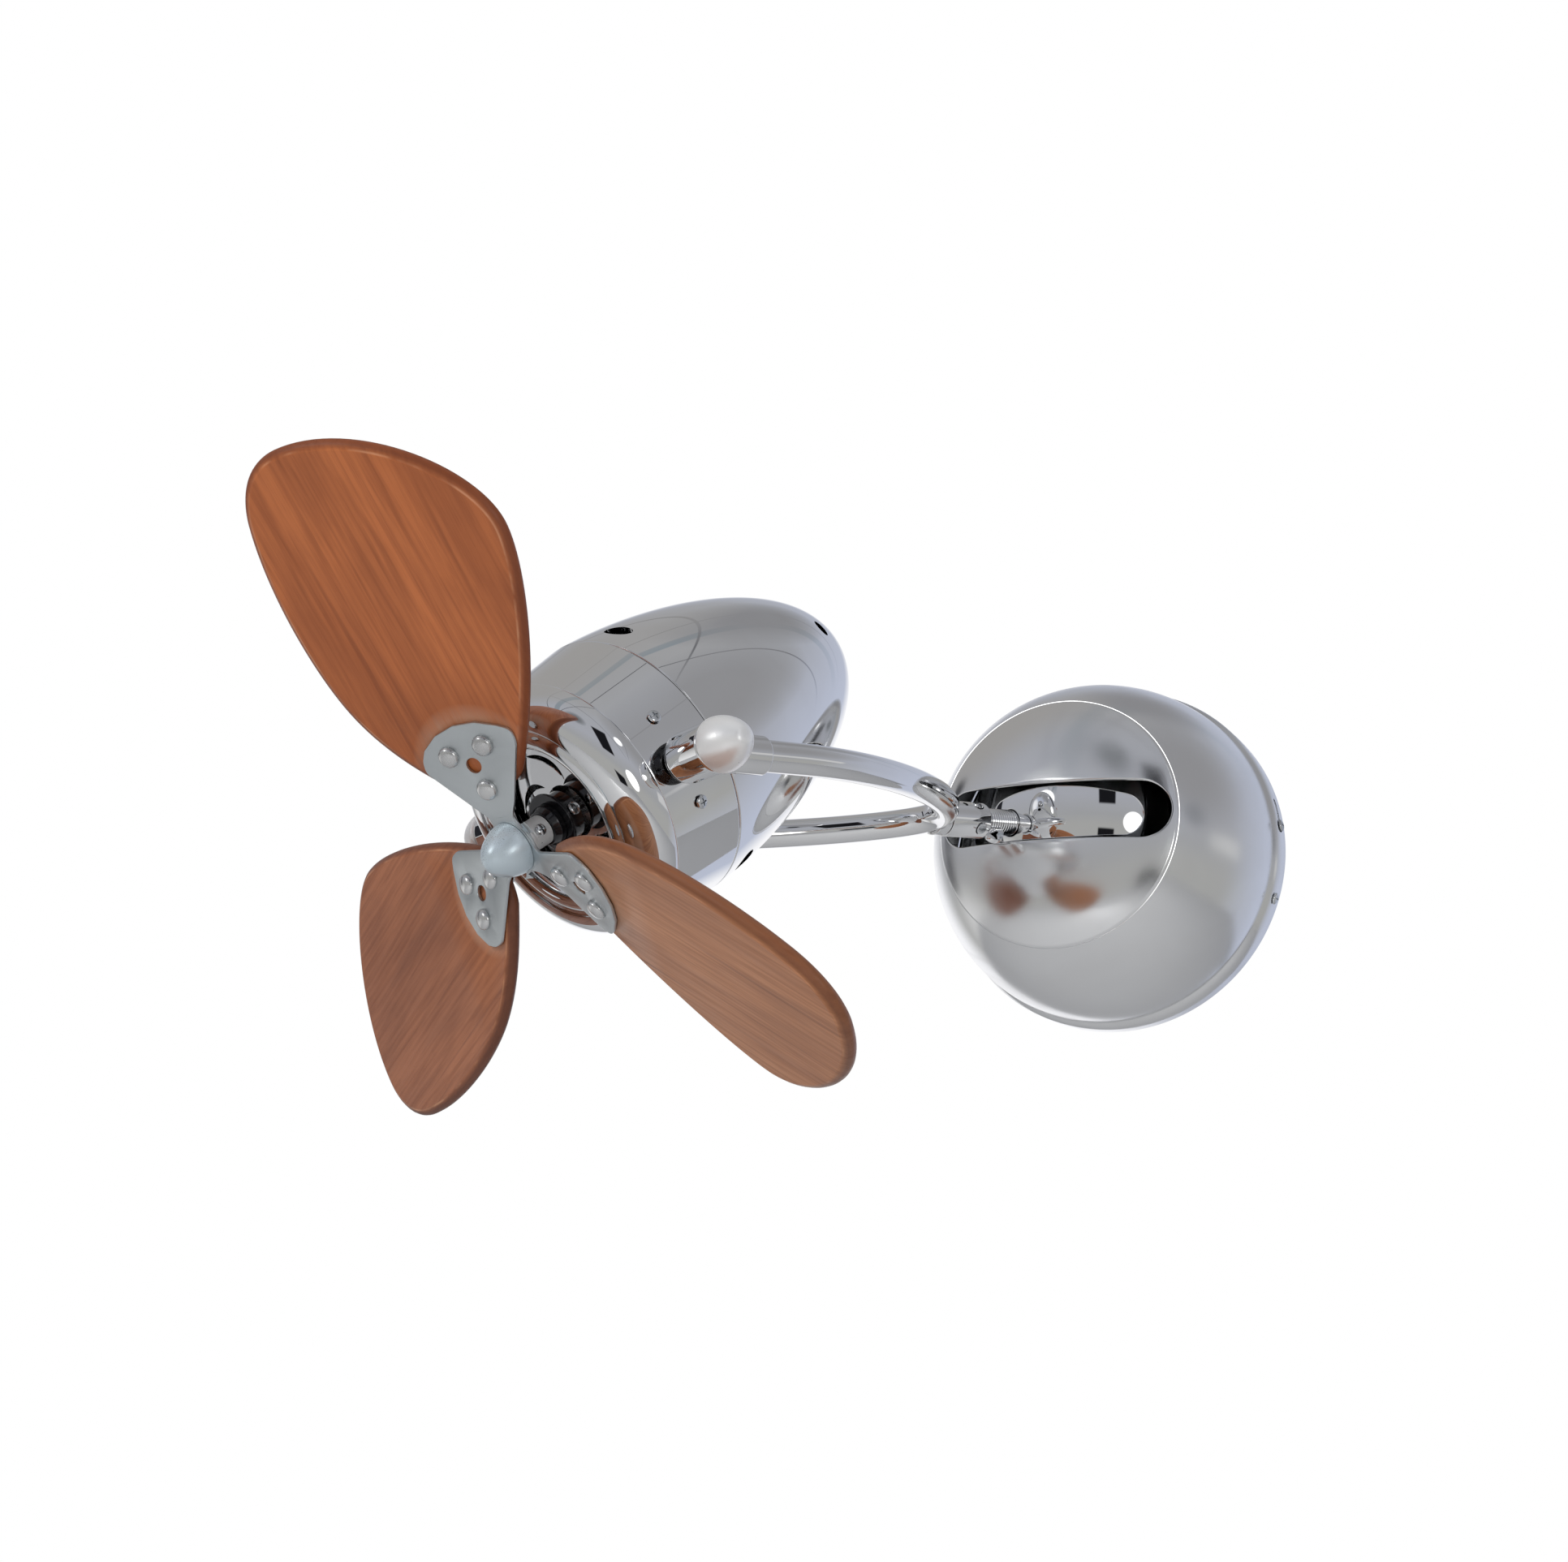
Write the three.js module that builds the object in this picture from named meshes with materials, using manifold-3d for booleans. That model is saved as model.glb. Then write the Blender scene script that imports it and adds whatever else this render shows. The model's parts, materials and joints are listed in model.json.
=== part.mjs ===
// Wall-mounted swivel fan: a round canopy on the wall, a jointed arm and yoke,
// an egg-shaped motor head and three wooden paddle blades.
//
// Frame: millimetres, origin at the centre of the wall plate's back face,
// +Y into the wall, +X to the right, +Z up. Every nested group keeps that
// habit: its -Y axis runs outwards along the piece it carries, so "reach"
// below always means distance along the group's own -Y.

import * as THREE from 'three';
import { mergeVertices } from 'three/addons/utils/BufferGeometryUtils.js';
import Module from 'manifold-3d';

const wasm = await Module();
wasm.setup();

// ---------------------------------------------------------------- dimensions

const GAP = 0.3; // free space between neighbouring pieces

// How the arm, yoke, head and rotor stand at rest, in degrees.
const SWING_LEFT = 21.8;
const ARM_DROOP = 9.2;
const YOKE_ROLL = -3.5;
const HEAD_DIP = 30.4;
const ROTOR_TURN = 82.3;

const CANOPY_R = 82.6;
const CANOPY_BAND = 14;
const CANOPY_FACE_R = 57.7;
const CANOPY_FACE_REACH = 77;
const CANOPY_DEPTH = 90.5;
const CANOPY_WALL = 1.5;
const PLATE_WALL = 2.5;
const SLOT_HALF_LENGTH = 55;
const SLOT_HALF_HEIGHT = 13.2;
const SLOT_RISE = 2.4; // the slot's middle lies slightly above the canopy's centre
const RIM_SCREW_ANGLES = [8, -16];

// The arm turns on an upright bolt through its eye; a round shield on it fills the slot.
const PIVOT_DEPTH = 30;
const PIVOT_RISE = 9.1;
const EYE_R = 9;
const BOLT_R = 3;
const BRACKET_INSIDE = EYE_R + 2.5;
const STRAP_THICKNESS = 2.5;
const SHIELD_R = 57;
const SHIELD_WALL = 1.6;
const SHIELD_SPREAD = 78; // degrees from the arm's axis to the shield's edge

const STEM_R = 5.9;
const STEM_BORE = 4;
const SLEEVE_R = 8.1;
const FLANGE_R = STEM_R + 3.5;
const SLEEVE_START = 74.9;
const SLEEVE_END = 98.5;
const CLAMP_HOLE_REACH = SLEEVE_START + 6.5;
const STOP_HOLE_REACH = SLEEVE_START + 14;
const NUT_START = 62.5;
const NUT_LENGTH = 12;
const NUT_R = 8.3;

const YOKE_REACH = 104.9; // arm's pivot to the middle of the yoke's bend
const YOKE_DEPTH = 176.8; // middle of the bend to the head's tilt axis
const TILT_REACH = YOKE_REACH + YOKE_DEPTH;
const YOKE_HALF_WIDTH = 70.4;
const YOKE_BEND = 134;
const YOKE_TUBE_R = 6.2;
const BOSS_R = 10;
const BOSS_START = 58.8;
const BOSS_END = 78;
const SOCKET_R = 7.5;
const SOCKET_LENGTH = 26;
const KNOB_R = 10.6;
const KNOB_LENGTH = 16.8;
const STUD_R = 4;
const STUD_THREAD_R = 2.6;
const STUD_FOOT = 54.8; // where the stud's foot stands on the band, from the head's axis

// Along the head's axis, measured forwards from a datum just ahead of the tilt axis.
const DATUM_AHEAD = 9.8;
const SEAM = -28.8;
const SEAM_R = 56;
const TAIL_LENGTH = 121.6;
const BAND_FRONT = 2.8;
const BAND_FRONT_R = 52.1;
const HEAD_WALL = 1.5;
const BEZEL_OPENING_R = 30.2;
const BAND_SCREW_REACH = -12;
const BAND_SCREW_ANGLES = [20, -19, 160, 199];
const VENT_PLATE_REACH = 6;
const VENT_PLATE_R = 47;
const SHEET_THICKNESS = 1.5;

// The motor inside the head, by reach from the same datum.
const STATOR_REAR = -60;
const STATOR_FRONT = -25;
const STATOR_R = 45;
const ROTOR_R = 23.6;
const WINDING_FRONT_END = -13;
const WINDING_REAR_END = -72;
const FRONT_BRACKET = -9;
const REAR_BRACKET = -79;
const CUP_DEPTH = 8; // from a bracket's disc to the end of its bearing cup
const BEARING_R = 9.5;
const BEARING_LENGTH = 5;

const SHAFT_R = 4;
const SHAFT_END = -88;
const COLLAR_START = 8;
const COLLAR_END = 14.4;
const FLINGER_END = 15.9;
const HUB_COLLAR_END = 21;
const HUB_SCREW_ANGLE = 8;
const COLLAR_SCREW_REACH = 11.2;
const ADAPTOR_SCREW_REACH = 26.4;
const SPINNER_TIP = 50.9;
const PLATE_REACH = 35.5; // front face of the blade plate on the axis
const PLATE_THICKNESS = 1.5;
const HUB_FACE = PLATE_REACH + 0.8; // raised middle of the plate, under the spinner
const BLADE_COUNT = 3;
const BLADE_PITCH = 18.5;
const BLADE_CONE = 5;
const BLADE_THICKNESS = 6;
const PAD_OFFSET = -1.5; // the pads sit slightly to one side of their spoke
const RIVETS = [[24.6, 0], [41.2, 8.2], [41.2, -8.2]]; // along the spoke, across the pad
const PAD_HOLE = 35;

const WALL_HOLE_X = 45; // the two wall screws sit this far left and right

// Screws: head radius, head height, shank radius, shank length.
const WALL_SCREW = [4.4, 2.6, 2.2, 12];
const RIM_SCREW = [2.8, 1.5, 1.4, 5];
const BAND_SCREW = [2.7, 1.4, 1.2, 5];
const COLLAR_SCREW = [2.6, 1.6, 1.6, 4.2];
const ADAPTOR_SCREW = [2.3, 1.4, 1.3, 1.6];

const COARSE = 10; // sides of small round pieces
const MEDIUM = 16;
const FINE = 32;

// ----------------------------------------------------------------- materials

const finish = (color, roughness, metalness) =>
  new THREE.MeshStandardMaterial({ color, roughness, metalness });

const chrome = finish(0xd6d8dc, 0.06, 1);
const satinNickel = finish(0xc9c6c0, 0.3, 1);
const satinAluminium = finish(0xaab4ba, 0.38, 1);
const zincSteel = finish(0xb7bcc0, 0.35, 1);
const blackOxide = finish(0x16171a, 0.3, 0.7);
const wood = finish(0xa4643f, 0.4, 0);
const copper = finish(0xb06a3a, 0.4, 1);
const laminations = finish(0x6f7276, 0.5, 0.8);
const bareSteel = finish(0x9a9da1, 0.4, 1);
const whitePlastic = finish(0xdcdad2, 0.5, 0);

// ------------------------------------------------------------------- helpers

const radians = THREE.MathUtils.degToRad;

// A closed three.js geometry as a manifold solid with its faces pointing out.
function solid(geometry) {
  const bare = geometry.clone();
  bare.deleteAttribute('normal');
  bare.deleteAttribute('uv');
  const welded = mergeVertices(bare);
  const corners = welded.index.array;
  const triangles = [];
  for (let i = 0; i < corners.length; i += 3) {
    const [a, b, c] = [corners[i], corners[i + 1], corners[i + 2]];
    if (a !== b && b !== c && c !== a) triangles.push(a, b, c);
  }
  const build = (order) => new wasm.Manifold(new wasm.Mesh({
    numProp: 3,
    vertProperties: new Float32Array(welded.attributes.position.array),
    triVerts: new Uint32Array(order),
  }));
  const body = build(triangles);
  return body.volume() < 0 ? build(triangles.reverse()) : body;
}

function geometryOf(body) {
  const mesh = body.getMesh();
  const geometry = new THREE.BufferGeometry();
  geometry.setAttribute('position', new THREE.BufferAttribute(mesh.vertProperties, 3));
  geometry.setIndex(new THREE.BufferAttribute(mesh.triVerts, 1));
  return geometry;
}

function part(name, body, material) {
  const mesh = new THREE.Mesh(geometryOf(body), material);
  mesh.name = name;
  return mesh;
}

const cut = (body, tools) => tools.reduce((rest, tool) => rest.subtract(tool), body);
const join = (bodies) => bodies.reduce((whole, next) => whole.add(next));

// A piece turned on a lathe about Y from a path of (radius, reach) points.
function turned(path, sides = MEDIUM, steps = 4) {
  const profile = path.getPoints(steps).map((p) => new THREE.Vector2(Math.max(p.x, 0), -p.y));
  return new THREE.LatheGeometry(profile, sides);
}

// A washer, ring or sleeve: a rectangle turned about Y.
function ring(inner, outer, from, to, sides = MEDIUM) {
  const path = new THREE.Path()
    .moveTo(inner, from)
    .lineTo(outer, from)
    .lineTo(outer, to)
    .lineTo(inner, to)
    .lineTo(inner, from);
  return turned(path, sides);
}

// A plain round bar along Y.
function bar(radius, from, to, sides = COARSE) {
  const geometry = new THREE.CylinderGeometry(radius, radius, to - from, sides);
  return geometry.translate(0, -(from + to) / 2, 0);
}

// The same geometry with its -Y direction laid along +X, or along +Z.
const alongX = (geometry) => geometry.rotateZ(Math.PI / 2);
const alongZ = (geometry) => geometry.rotateX(-Math.PI / 2);

// Turns a piece laid along +X to another angle about Y, measured from +X towards +Z.
const spunTo = (geometry, degrees) => geometry.rotateY(-radians(degrees));

// A cross-head screw along Y: the head faces -Y and its underside is at reach 0.
function screw([headR, headHeight, shankR, shankLength]) {
  const path = new THREE.Path()
    .moveTo(0, headHeight)
    .quadraticCurveTo(headR * 0.9, headHeight, headR, 0)
    .lineTo(shankR, 0)
    .lineTo(shankR, -shankLength)
    .lineTo(0, -shankLength);
  const slotWidth = headR * 0.24;
  const slotLength = headR * 1.2;
  const slotDepth = headHeight * 0.55;
  const slot = new THREE.BoxGeometry(slotLength, slotDepth * 2, slotWidth)
    .translate(0, -headHeight, 0);
  const crossSlot = slot.clone().rotateY(Math.PI / 2);
  return cut(solid(turned(path, COARSE, 2)), [solid(slot), solid(crossSlot)]);
}

const placed = (body, move) => body.transform([...move.elements]);

// Moves a solid made along Y out to a radius, facing outwards at an angle about Y.
function radial(body, radius, angle, reach) {
  const move = new THREE.Matrix4()
    .makeRotationY(-radians(angle))
    .multiply(new THREE.Matrix4().makeTranslation(radius, -reach, 0))
    .multiply(new THREE.Matrix4().makeRotationZ(Math.PI / 2));
  return placed(body, move);
}

// --------------------------------------------------------------- wall pieces

function canopyProfile(inset) {
  const bandR = CANOPY_R - inset;
  const domeR = CANOPY_R - 2 - inset;
  const faceR = CANOPY_FACE_R - inset;
  const faceReach = CANOPY_FACE_REACH - inset / 2;
  const top = CANOPY_DEPTH - inset;
  const rise = Math.acos(faceR / domeR);
  const domeDepth = (faceReach - CANOPY_BAND) / Math.sin(rise);
  return { bandR, domeR, faceR, faceReach, top, rise, domeDepth };
}

function canopyShell() {
  const outside = canopyProfile(0);
  const inside = canopyProfile(CANOPY_WALL);
  const path = new THREE.Path().moveTo(outside.bandR, GAP);
  path.lineTo(outside.bandR, CANOPY_BAND - 1.5);
  path.lineTo(outside.domeR, CANOPY_BAND);
  path.absellipse(0, CANOPY_BAND, outside.domeR, outside.domeDepth, 0, outside.rise, false, 0);
  path.lineTo(outside.faceR - 0.8, outside.faceReach + 0.8);
  path.quadraticCurveTo(outside.faceR / 2, outside.top, 0, outside.top);
  path.lineTo(0, inside.top);
  path.quadraticCurveTo(inside.faceR / 2, inside.top, inside.faceR, inside.faceReach);
  path.absellipse(0, CANOPY_BAND, inside.domeR, inside.domeDepth, inside.rise, 0, true, 0);
  path.lineTo(inside.bandR, CANOPY_BAND - 1.5);
  path.lineTo(inside.bandR, GAP);
  path.lineTo(outside.bandR, GAP);
  const shell = solid(turned(path, FINE, 3));

  const end = SLOT_HALF_LENGTH - SLOT_HALF_HEIGHT;
  const slot = new THREE.Shape()
    .moveTo(-end, -SLOT_HALF_HEIGHT)
    .lineTo(end, -SLOT_HALF_HEIGHT)
    .absarc(end, 0, SLOT_HALF_HEIGHT, -Math.PI / 2, Math.PI / 2)
    .lineTo(-end, SLOT_HALF_HEIGHT)
    .absarc(-end, 0, SLOT_HALF_HEIGHT, Math.PI / 2, Math.PI * 1.5);
  const opening = new THREE.ExtrudeGeometry(slot, {
    depth: CANOPY_DEPTH,
    bevelEnabled: false,
    curveSegments: 4,
  });
  opening.rotateX(Math.PI / 2).translate(0, -CANOPY_DEPTH / 2, SLOT_RISE);

  const screwHole = solid(bar(1.9, -8, 8));
  const holes = RIM_SCREW_ANGLES.map((angle) => radial(screwHole, CANOPY_R, angle, CANOPY_BAND / 2));
  return cut(shell, [solid(opening), ...holes]);
}

function wallPlate() {
  const outer = CANOPY_R - CANOPY_WALL - 1;
  const path = new THREE.Path()
    .moveTo(0, 0)
    .lineTo(outer, 0)
    .lineTo(outer, CANOPY_BAND - 3)
    .lineTo(outer - 2, CANOPY_BAND - 3)
    .lineTo(outer - 2, PLATE_WALL)
    .lineTo(0, PLATE_WALL)
    .lineTo(0, 0);
  const screwHole = solid(bar(1.9, -8, 8));
  const rimHoles = RIM_SCREW_ANGLES.map((angle) => radial(screwHole, outer, angle, CANOPY_BAND / 2));
  const wallHoles = [-1, 1].map((side) => solid(bar(2.8, -5, 10).translate(side * WALL_HOLE_X, 0, 0)));
  const cableHole = solid(bar(7, -5, 10).translate(0, 0, -55));
  return cut(solid(turned(path, FINE)), [...rimHoles, ...wallHoles, cableHole]);
}

// A U of steel strap that carries the pivot bolt above and below the arm's eye.
function swivelBracket() {
  const inside = BRACKET_INSIDE;
  const outside = inside + STRAP_THICKNESS;
  const web = PLATE_WALL + GAP;
  const tip = PIVOT_DEPTH + 9;
  const shape = new THREE.Shape()
    .moveTo(web, -outside)
    .lineTo(tip, -outside)
    .lineTo(tip, -inside)
    .lineTo(web + STRAP_THICKNESS, -inside)
    .lineTo(web + STRAP_THICKNESS, inside)
    .lineTo(tip, inside)
    .lineTo(tip, outside)
    .lineTo(web, outside);
  const width = 18;
  const strap = new THREE.ExtrudeGeometry(shape, { depth: width, bevelEnabled: false });
  strap.translate(0, 0, -width / 2).applyMatrix4(new THREE.Matrix4().makeBasis(
    new THREE.Vector3(0, -1, 0),
    new THREE.Vector3(0, 0, 1),
    new THREE.Vector3(-1, 0, 0),
  ));
  const boltHole = upright(BOLT_R + GAP, -outside - 5, outside + 5);
  return cut(solid(strap.translate(0, 0, PIVOT_RISE)), [solid(boltHole)]);
}

// An upright bar on the arm's pivot, from one height above it to another.
function upright(radius, from, to, sides = COARSE) {
  return alongZ(bar(radius, from, to, sides)).translate(0, -PIVOT_DEPTH, PIVOT_RISE);
}

function pivotBolt() {
  const seat = BRACKET_INSIDE + STRAP_THICKNESS + GAP;
  const head = upright(6, seat, seat + 4, 6);
  const shank = upright(BOLT_R, -seat - 7, seat + 1);
  return join([solid(head), solid(shank)]);
}

function pivotNut() {
  const seat = BRACKET_INSIDE + STRAP_THICKNESS + GAP;
  const nut = upright(6, -seat - 5, -seat, 6);
  return cut(solid(nut), [solid(upright(BOLT_R + GAP, -seat - 8, 0))]);
}

function wallScrew(side) {
  const seat = PLATE_WALL + GAP;
  const move = new THREE.Matrix4().makeTranslation(side * WALL_HOLE_X, -seat, 0);
  return placed(screw(WALL_SCREW), move);
}

function terminalBlock() {
  const body = solid(new THREE.BoxGeometry(30, 14, 12).translate(0, -10, -60));
  const wireHoles = [-9, 0, 9].map((x) => solid(
    alongZ(bar(1.8, -8, 8)).translate(x, -10, -60),
  ));
  return cut(body, wireHoles);
}

// ---------------------------------------------------------------- arm pieces

// Round shield that turns with the arm and closes the slot from behind.
function swivelShield() {
  const inner = SHIELD_R - SHIELD_WALL;
  const edge = radians(90 - SHIELD_SPREAD);
  const mouth = STEM_R + GAP;
  const path = new THREE.Path()
    .absarc(0, 0, SHIELD_R, edge, Math.acos(mouth / SHIELD_R), false)
    .absarc(0, 0, inner, Math.acos(mouth / inner), edge, true)
    .lineTo(SHIELD_R * Math.cos(edge), SHIELD_R * Math.sin(edge));
  return solid(turned(path, FINE, 5));
}

// Hollow stem with a round eye for the pivot bolt and a flange behind the shield.
function armStem() {
  const flange = SHIELD_R - SHIELD_WALL - 4;
  const end = SLEEVE_END - 1;
  const path = new THREE.Path()
    .moveTo(0, -EYE_R)
    .absarc(0, 0, EYE_R, -Math.PI / 2, Math.acos(STEM_R / EYE_R), false)
    .lineTo(STEM_R, flange)
    .lineTo(FLANGE_R, flange)
    .lineTo(FLANGE_R, flange + 2.5)
    .lineTo(STEM_R, flange + 2.5)
    .lineTo(STEM_R, end)
    .lineTo(STEM_BORE, end)
    .lineTo(STEM_BORE, EYE_R * 2)
    .lineTo(0, EYE_R * 2);
  const boltHole = alongZ(bar(BOLT_R + GAP, -EYE_R * 2, EYE_R * 2)).rotateX(-radians(ARM_DROOP));
  return cut(solid(turned(path, MEDIUM, 4)), [solid(boltHole)]);
}

// Two splayed wings on a short threaded barrel.
function wingNut() {
  const barrel = solid(ring(STEM_R + GAP, NUT_R, NUT_START, NUT_START + NUT_LENGTH, MEDIUM));
  const foot = NUT_R - 0.8;
  const tip = 16;
  const at = (reach) => NUT_START + reach;
  const wing = new THREE.Shape()
    .moveTo(foot, at(5))
    .bezierCurveTo(11, at(6), tip, at(10), tip, at(15.5))
    .bezierCurveTo(tip, at(20), 10.5, at(20), 9.8, at(15))
    .lineTo(foot, at(11));
  const thickness = 2.6;
  const blade = new THREE.ExtrudeGeometry(wing, {
    depth: thickness,
    bevelEnabled: false,
    curveSegments: 6,
  });
  blade.translate(0, 0, -thickness / 2).rotateX(Math.PI);
  const wings = [135, -45].map((angle) => solid(spunTo(blade.clone(), angle)));
  return join([barrel, ...wings]);
}

// --------------------------------------------------------------- yoke pieces

// Centre line of the yoke, from one tilt pivot round the bend to the other.
function yokePath(endReach) {
  const tip = YOKE_REACH;
  const straight = YOKE_REACH + YOKE_BEND;
  const point = (x, reach) => new THREE.Vector3(x, -reach, 0);
  const half = (side) => new THREE.CubicBezierCurve3(
    point(0, tip),
    point(side * YOKE_HALF_WIDTH * 0.37, tip),
    point(side * YOKE_HALF_WIDTH, tip + YOKE_BEND * 0.55),
    point(side * YOKE_HALF_WIDTH, straight),
  ).getPoints(9);
  const left = [point(-YOKE_HALF_WIDTH, endReach), ...half(-1).reverse()];
  const right = [...half(1).slice(1), point(YOKE_HALF_WIDTH, endReach)];
  return new THREE.CatmullRomCurve3([...left, ...right], false, 'centripetal');
}

function yokeSweep(radius, endReach) {
  const circle = new THREE.Shape().absarc(0, 0, radius, 0, Math.PI * 2);
  return solid(new THREE.ExtrudeGeometry(circle, {
    steps: 30,
    curveSegments: 5,
    bevelEnabled: false,
    extrudePath: yokePath(endReach),
  }));
}

const yokeTube = () => yokeSweep(YOKE_TUBE_R, TILT_REACH - BOSS_R - 1);

function yokeCollar() {
  const blank = solid(ring(STEM_R + GAP, SLEEVE_R - 0.3, SLEEVE_END + GAP, YOKE_REACH));
  return blank.subtract(yokeSweep(YOKE_TUBE_R + GAP, TILT_REACH - BOSS_R));
}

// Rotating sleeve over the stem, with two clamp holes and a small stop hole.
function swivelSleeve() {
  const chamfer = 1;
  const path = new THREE.Path()
    .moveTo(STEM_R + GAP, SLEEVE_START)
    .lineTo(SLEEVE_R - chamfer, SLEEVE_START)
    .lineTo(SLEEVE_R, SLEEVE_START + chamfer)
    .lineTo(SLEEVE_R, SLEEVE_END)
    .lineTo(STEM_R + GAP, SLEEVE_END)
    .lineTo(STEM_R + GAP, SLEEVE_START);
  const clampHole = solid(bar(3, -6, 6));
  const stopHole = solid(bar(1.3, -6, 6));
  return cut(solid(turned(path, MEDIUM)), [
    radial(clampHole, SLEEVE_R + 3, 45, CLAMP_HOLE_REACH),
    radial(clampHole, SLEEVE_R + 3, -40, CLAMP_HOLE_REACH),
    radial(stopHole, SLEEVE_R + 3, 45, STOP_HOLE_REACH),
  ]);
}

// Pivot boss with a socket for the end of the yoke tube.
function pivotBoss(side) {
  const x = side * YOKE_HALF_WIDTH;
  const boss = alongX(bar(BOSS_R, BOSS_START, BOSS_END, MEDIUM)).translate(0, -TILT_REACH, 0);
  if (side < 0) boss.rotateY(Math.PI);
  const socketStart = TILT_REACH - SOCKET_LENGTH;
  const socket = bar(SOCKET_R, socketStart, TILT_REACH - 2, MEDIUM).translate(x, 0, 0);
  const tubeBore = bar(YOKE_TUBE_R + GAP, socketStart - 5, TILT_REACH - BOSS_R - 0.5, MEDIUM)
    .translate(x, 0, 0);
  const studBore = alongX(bar(STUD_R + GAP, -120, 120, COARSE)).translate(0, -TILT_REACH, 0);
  return cut(join([solid(boss), solid(socket)]), [solid(tubeBore), solid(studBore)]);
}

// Acorn-shaped locking knob on the threaded end of a tilt stud.
function acornKnob(side) {
  const path = new THREE.Path()
    .moveTo(0, 9)
    .lineTo(STUD_R + GAP, 9)
    .lineTo(STUD_R + GAP, 0)
    .lineTo(KNOB_R, 0)
    .bezierCurveTo(KNOB_R + 0.4, 5, KNOB_R * 0.75, KNOB_LENGTH * 0.7, 3.2, KNOB_LENGTH - 0.8)
    .quadraticCurveTo(1.8, KNOB_LENGTH, 0, KNOB_LENGTH);
  const knob = alongX(turned(path, MEDIUM, 6)).translate(BOSS_END + GAP, 0, 0);
  if (side < 0) knob.rotateY(Math.PI);
  return solid(knob.translate(0, -TILT_REACH, 0));
}

// --------------------------------------------------------------- head pieces

// Radius of the tapering front band at a reach along the head's axis.
const bandRadius = (reach) => SEAM_R
  + ((BAND_FRONT_R - SEAM_R) * (reach - SEAM)) / (BAND_FRONT - SEAM);

function frontBand() {
  const path = new THREE.Path()
    .moveTo(SEAM_R - HEAD_WALL, SEAM)
    .lineTo(SEAM_R, SEAM)
    .lineTo(BAND_FRONT_R, BAND_FRONT)
    .lineTo(BAND_FRONT_R - HEAD_WALL, BAND_FRONT)
    .lineTo(SEAM_R - HEAD_WALL, SEAM);
  const studHole = solid(alongX(bar(STUD_THREAD_R + GAP, -70, 70)).translate(0, DATUM_AHEAD, 0));
  const screwHole = solid(bar(1.6, -6, 6));
  const screwHoles = BAND_SCREW_ANGLES.map((angle) => radial(
    screwHole,
    bandRadius(BAND_SCREW_REACH),
    angle,
    BAND_SCREW_REACH,
  ));
  return cut(solid(turned(path, FINE)), [studHole, ...screwHoles]);
}

function bandScrew(angle) {
  const seat = bandRadius(BAND_SCREW_REACH) + GAP;
  return radial(screw(BAND_SCREW), seat, angle, BAND_SCREW_REACH);
}

// Egg-shaped tail: a superellipse that starts square to the band and closes on the axis.
function tailRadius(share) {
  return SEAM_R * (1 - share ** 1.78) ** 0.47;
}

function rearDome() {
  const start = SEAM - GAP;
  const rings = 8;
  const outline = (inset) => Array.from({ length: rings + 1 }, (_, i) => {
    const share = Math.sin((i / rings) * (Math.PI / 2));
    const radius = Math.max(tailRadius(share) - inset, 0);
    return new THREE.Vector2(radius, -start + share * (TAIL_LENGTH - inset));
  });
  const outside = outline(0);
  const inside = outline(HEAD_WALL).reverse();
  const firstOnAxis = inside.findLastIndex((p) => p.x === 0);
  const profile = [...outside, ...inside.slice(firstOnAxis)];
  profile.push(profile[0].clone());
  const shell = solid(new THREE.LatheGeometry(profile, FINE));

  const seamVents = [68, 112, -68, -112].map((angle) => ventCut(7, 4, 50, angle, -41));
  const tailVents = [20, 160, -90].map((angle) => ventCut(4, 2.6, 26, angle, -129));
  return cut(shell, [...seamVents, ...tailVents]);
}

// An oval cutter, long across the head's axis, laid along a radius.
function ventCut(halfLength, halfWidth, radius, angle, reach) {
  const cutter = bar(1, -14, 14, COARSE).scale(halfWidth, 1, halfLength);
  return radial(solid(cutter), radius, angle, reach);
}

// Polished ring at the front: a rolled outer edge, a groove and a rolled inner lip.
function bezel() {
  const start = BAND_FRONT + GAP;
  const outer = BAND_FRONT_R + 0.4;
  const lip = BEZEL_OPENING_R;
  const path = new THREE.Path()
    .moveTo(outer - HEAD_WALL, start)
    .lineTo(outer, start)
    .bezierCurveTo(outer, 10, 49, 17.5, 40.2, 17.5)
    .lineTo(39.4, 16.4)
    .lineTo(38.6, 16.4)
    .bezierCurveTo(36.5, 18.6, lip, 19.4, lip, 12)
    .lineTo(lip, 8.6)
    .lineTo(lip + HEAD_WALL, 8.6)
    .lineTo(lip + HEAD_WALL, 12)
    .bezierCurveTo(lip + HEAD_WALL, 17, 36, 16.4, 38.6, 14.9)
    .bezierCurveTo(48, 15, outer - HEAD_WALL, 9, outer - HEAD_WALL, start);
  return solid(turned(path, FINE, 3));
}

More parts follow.
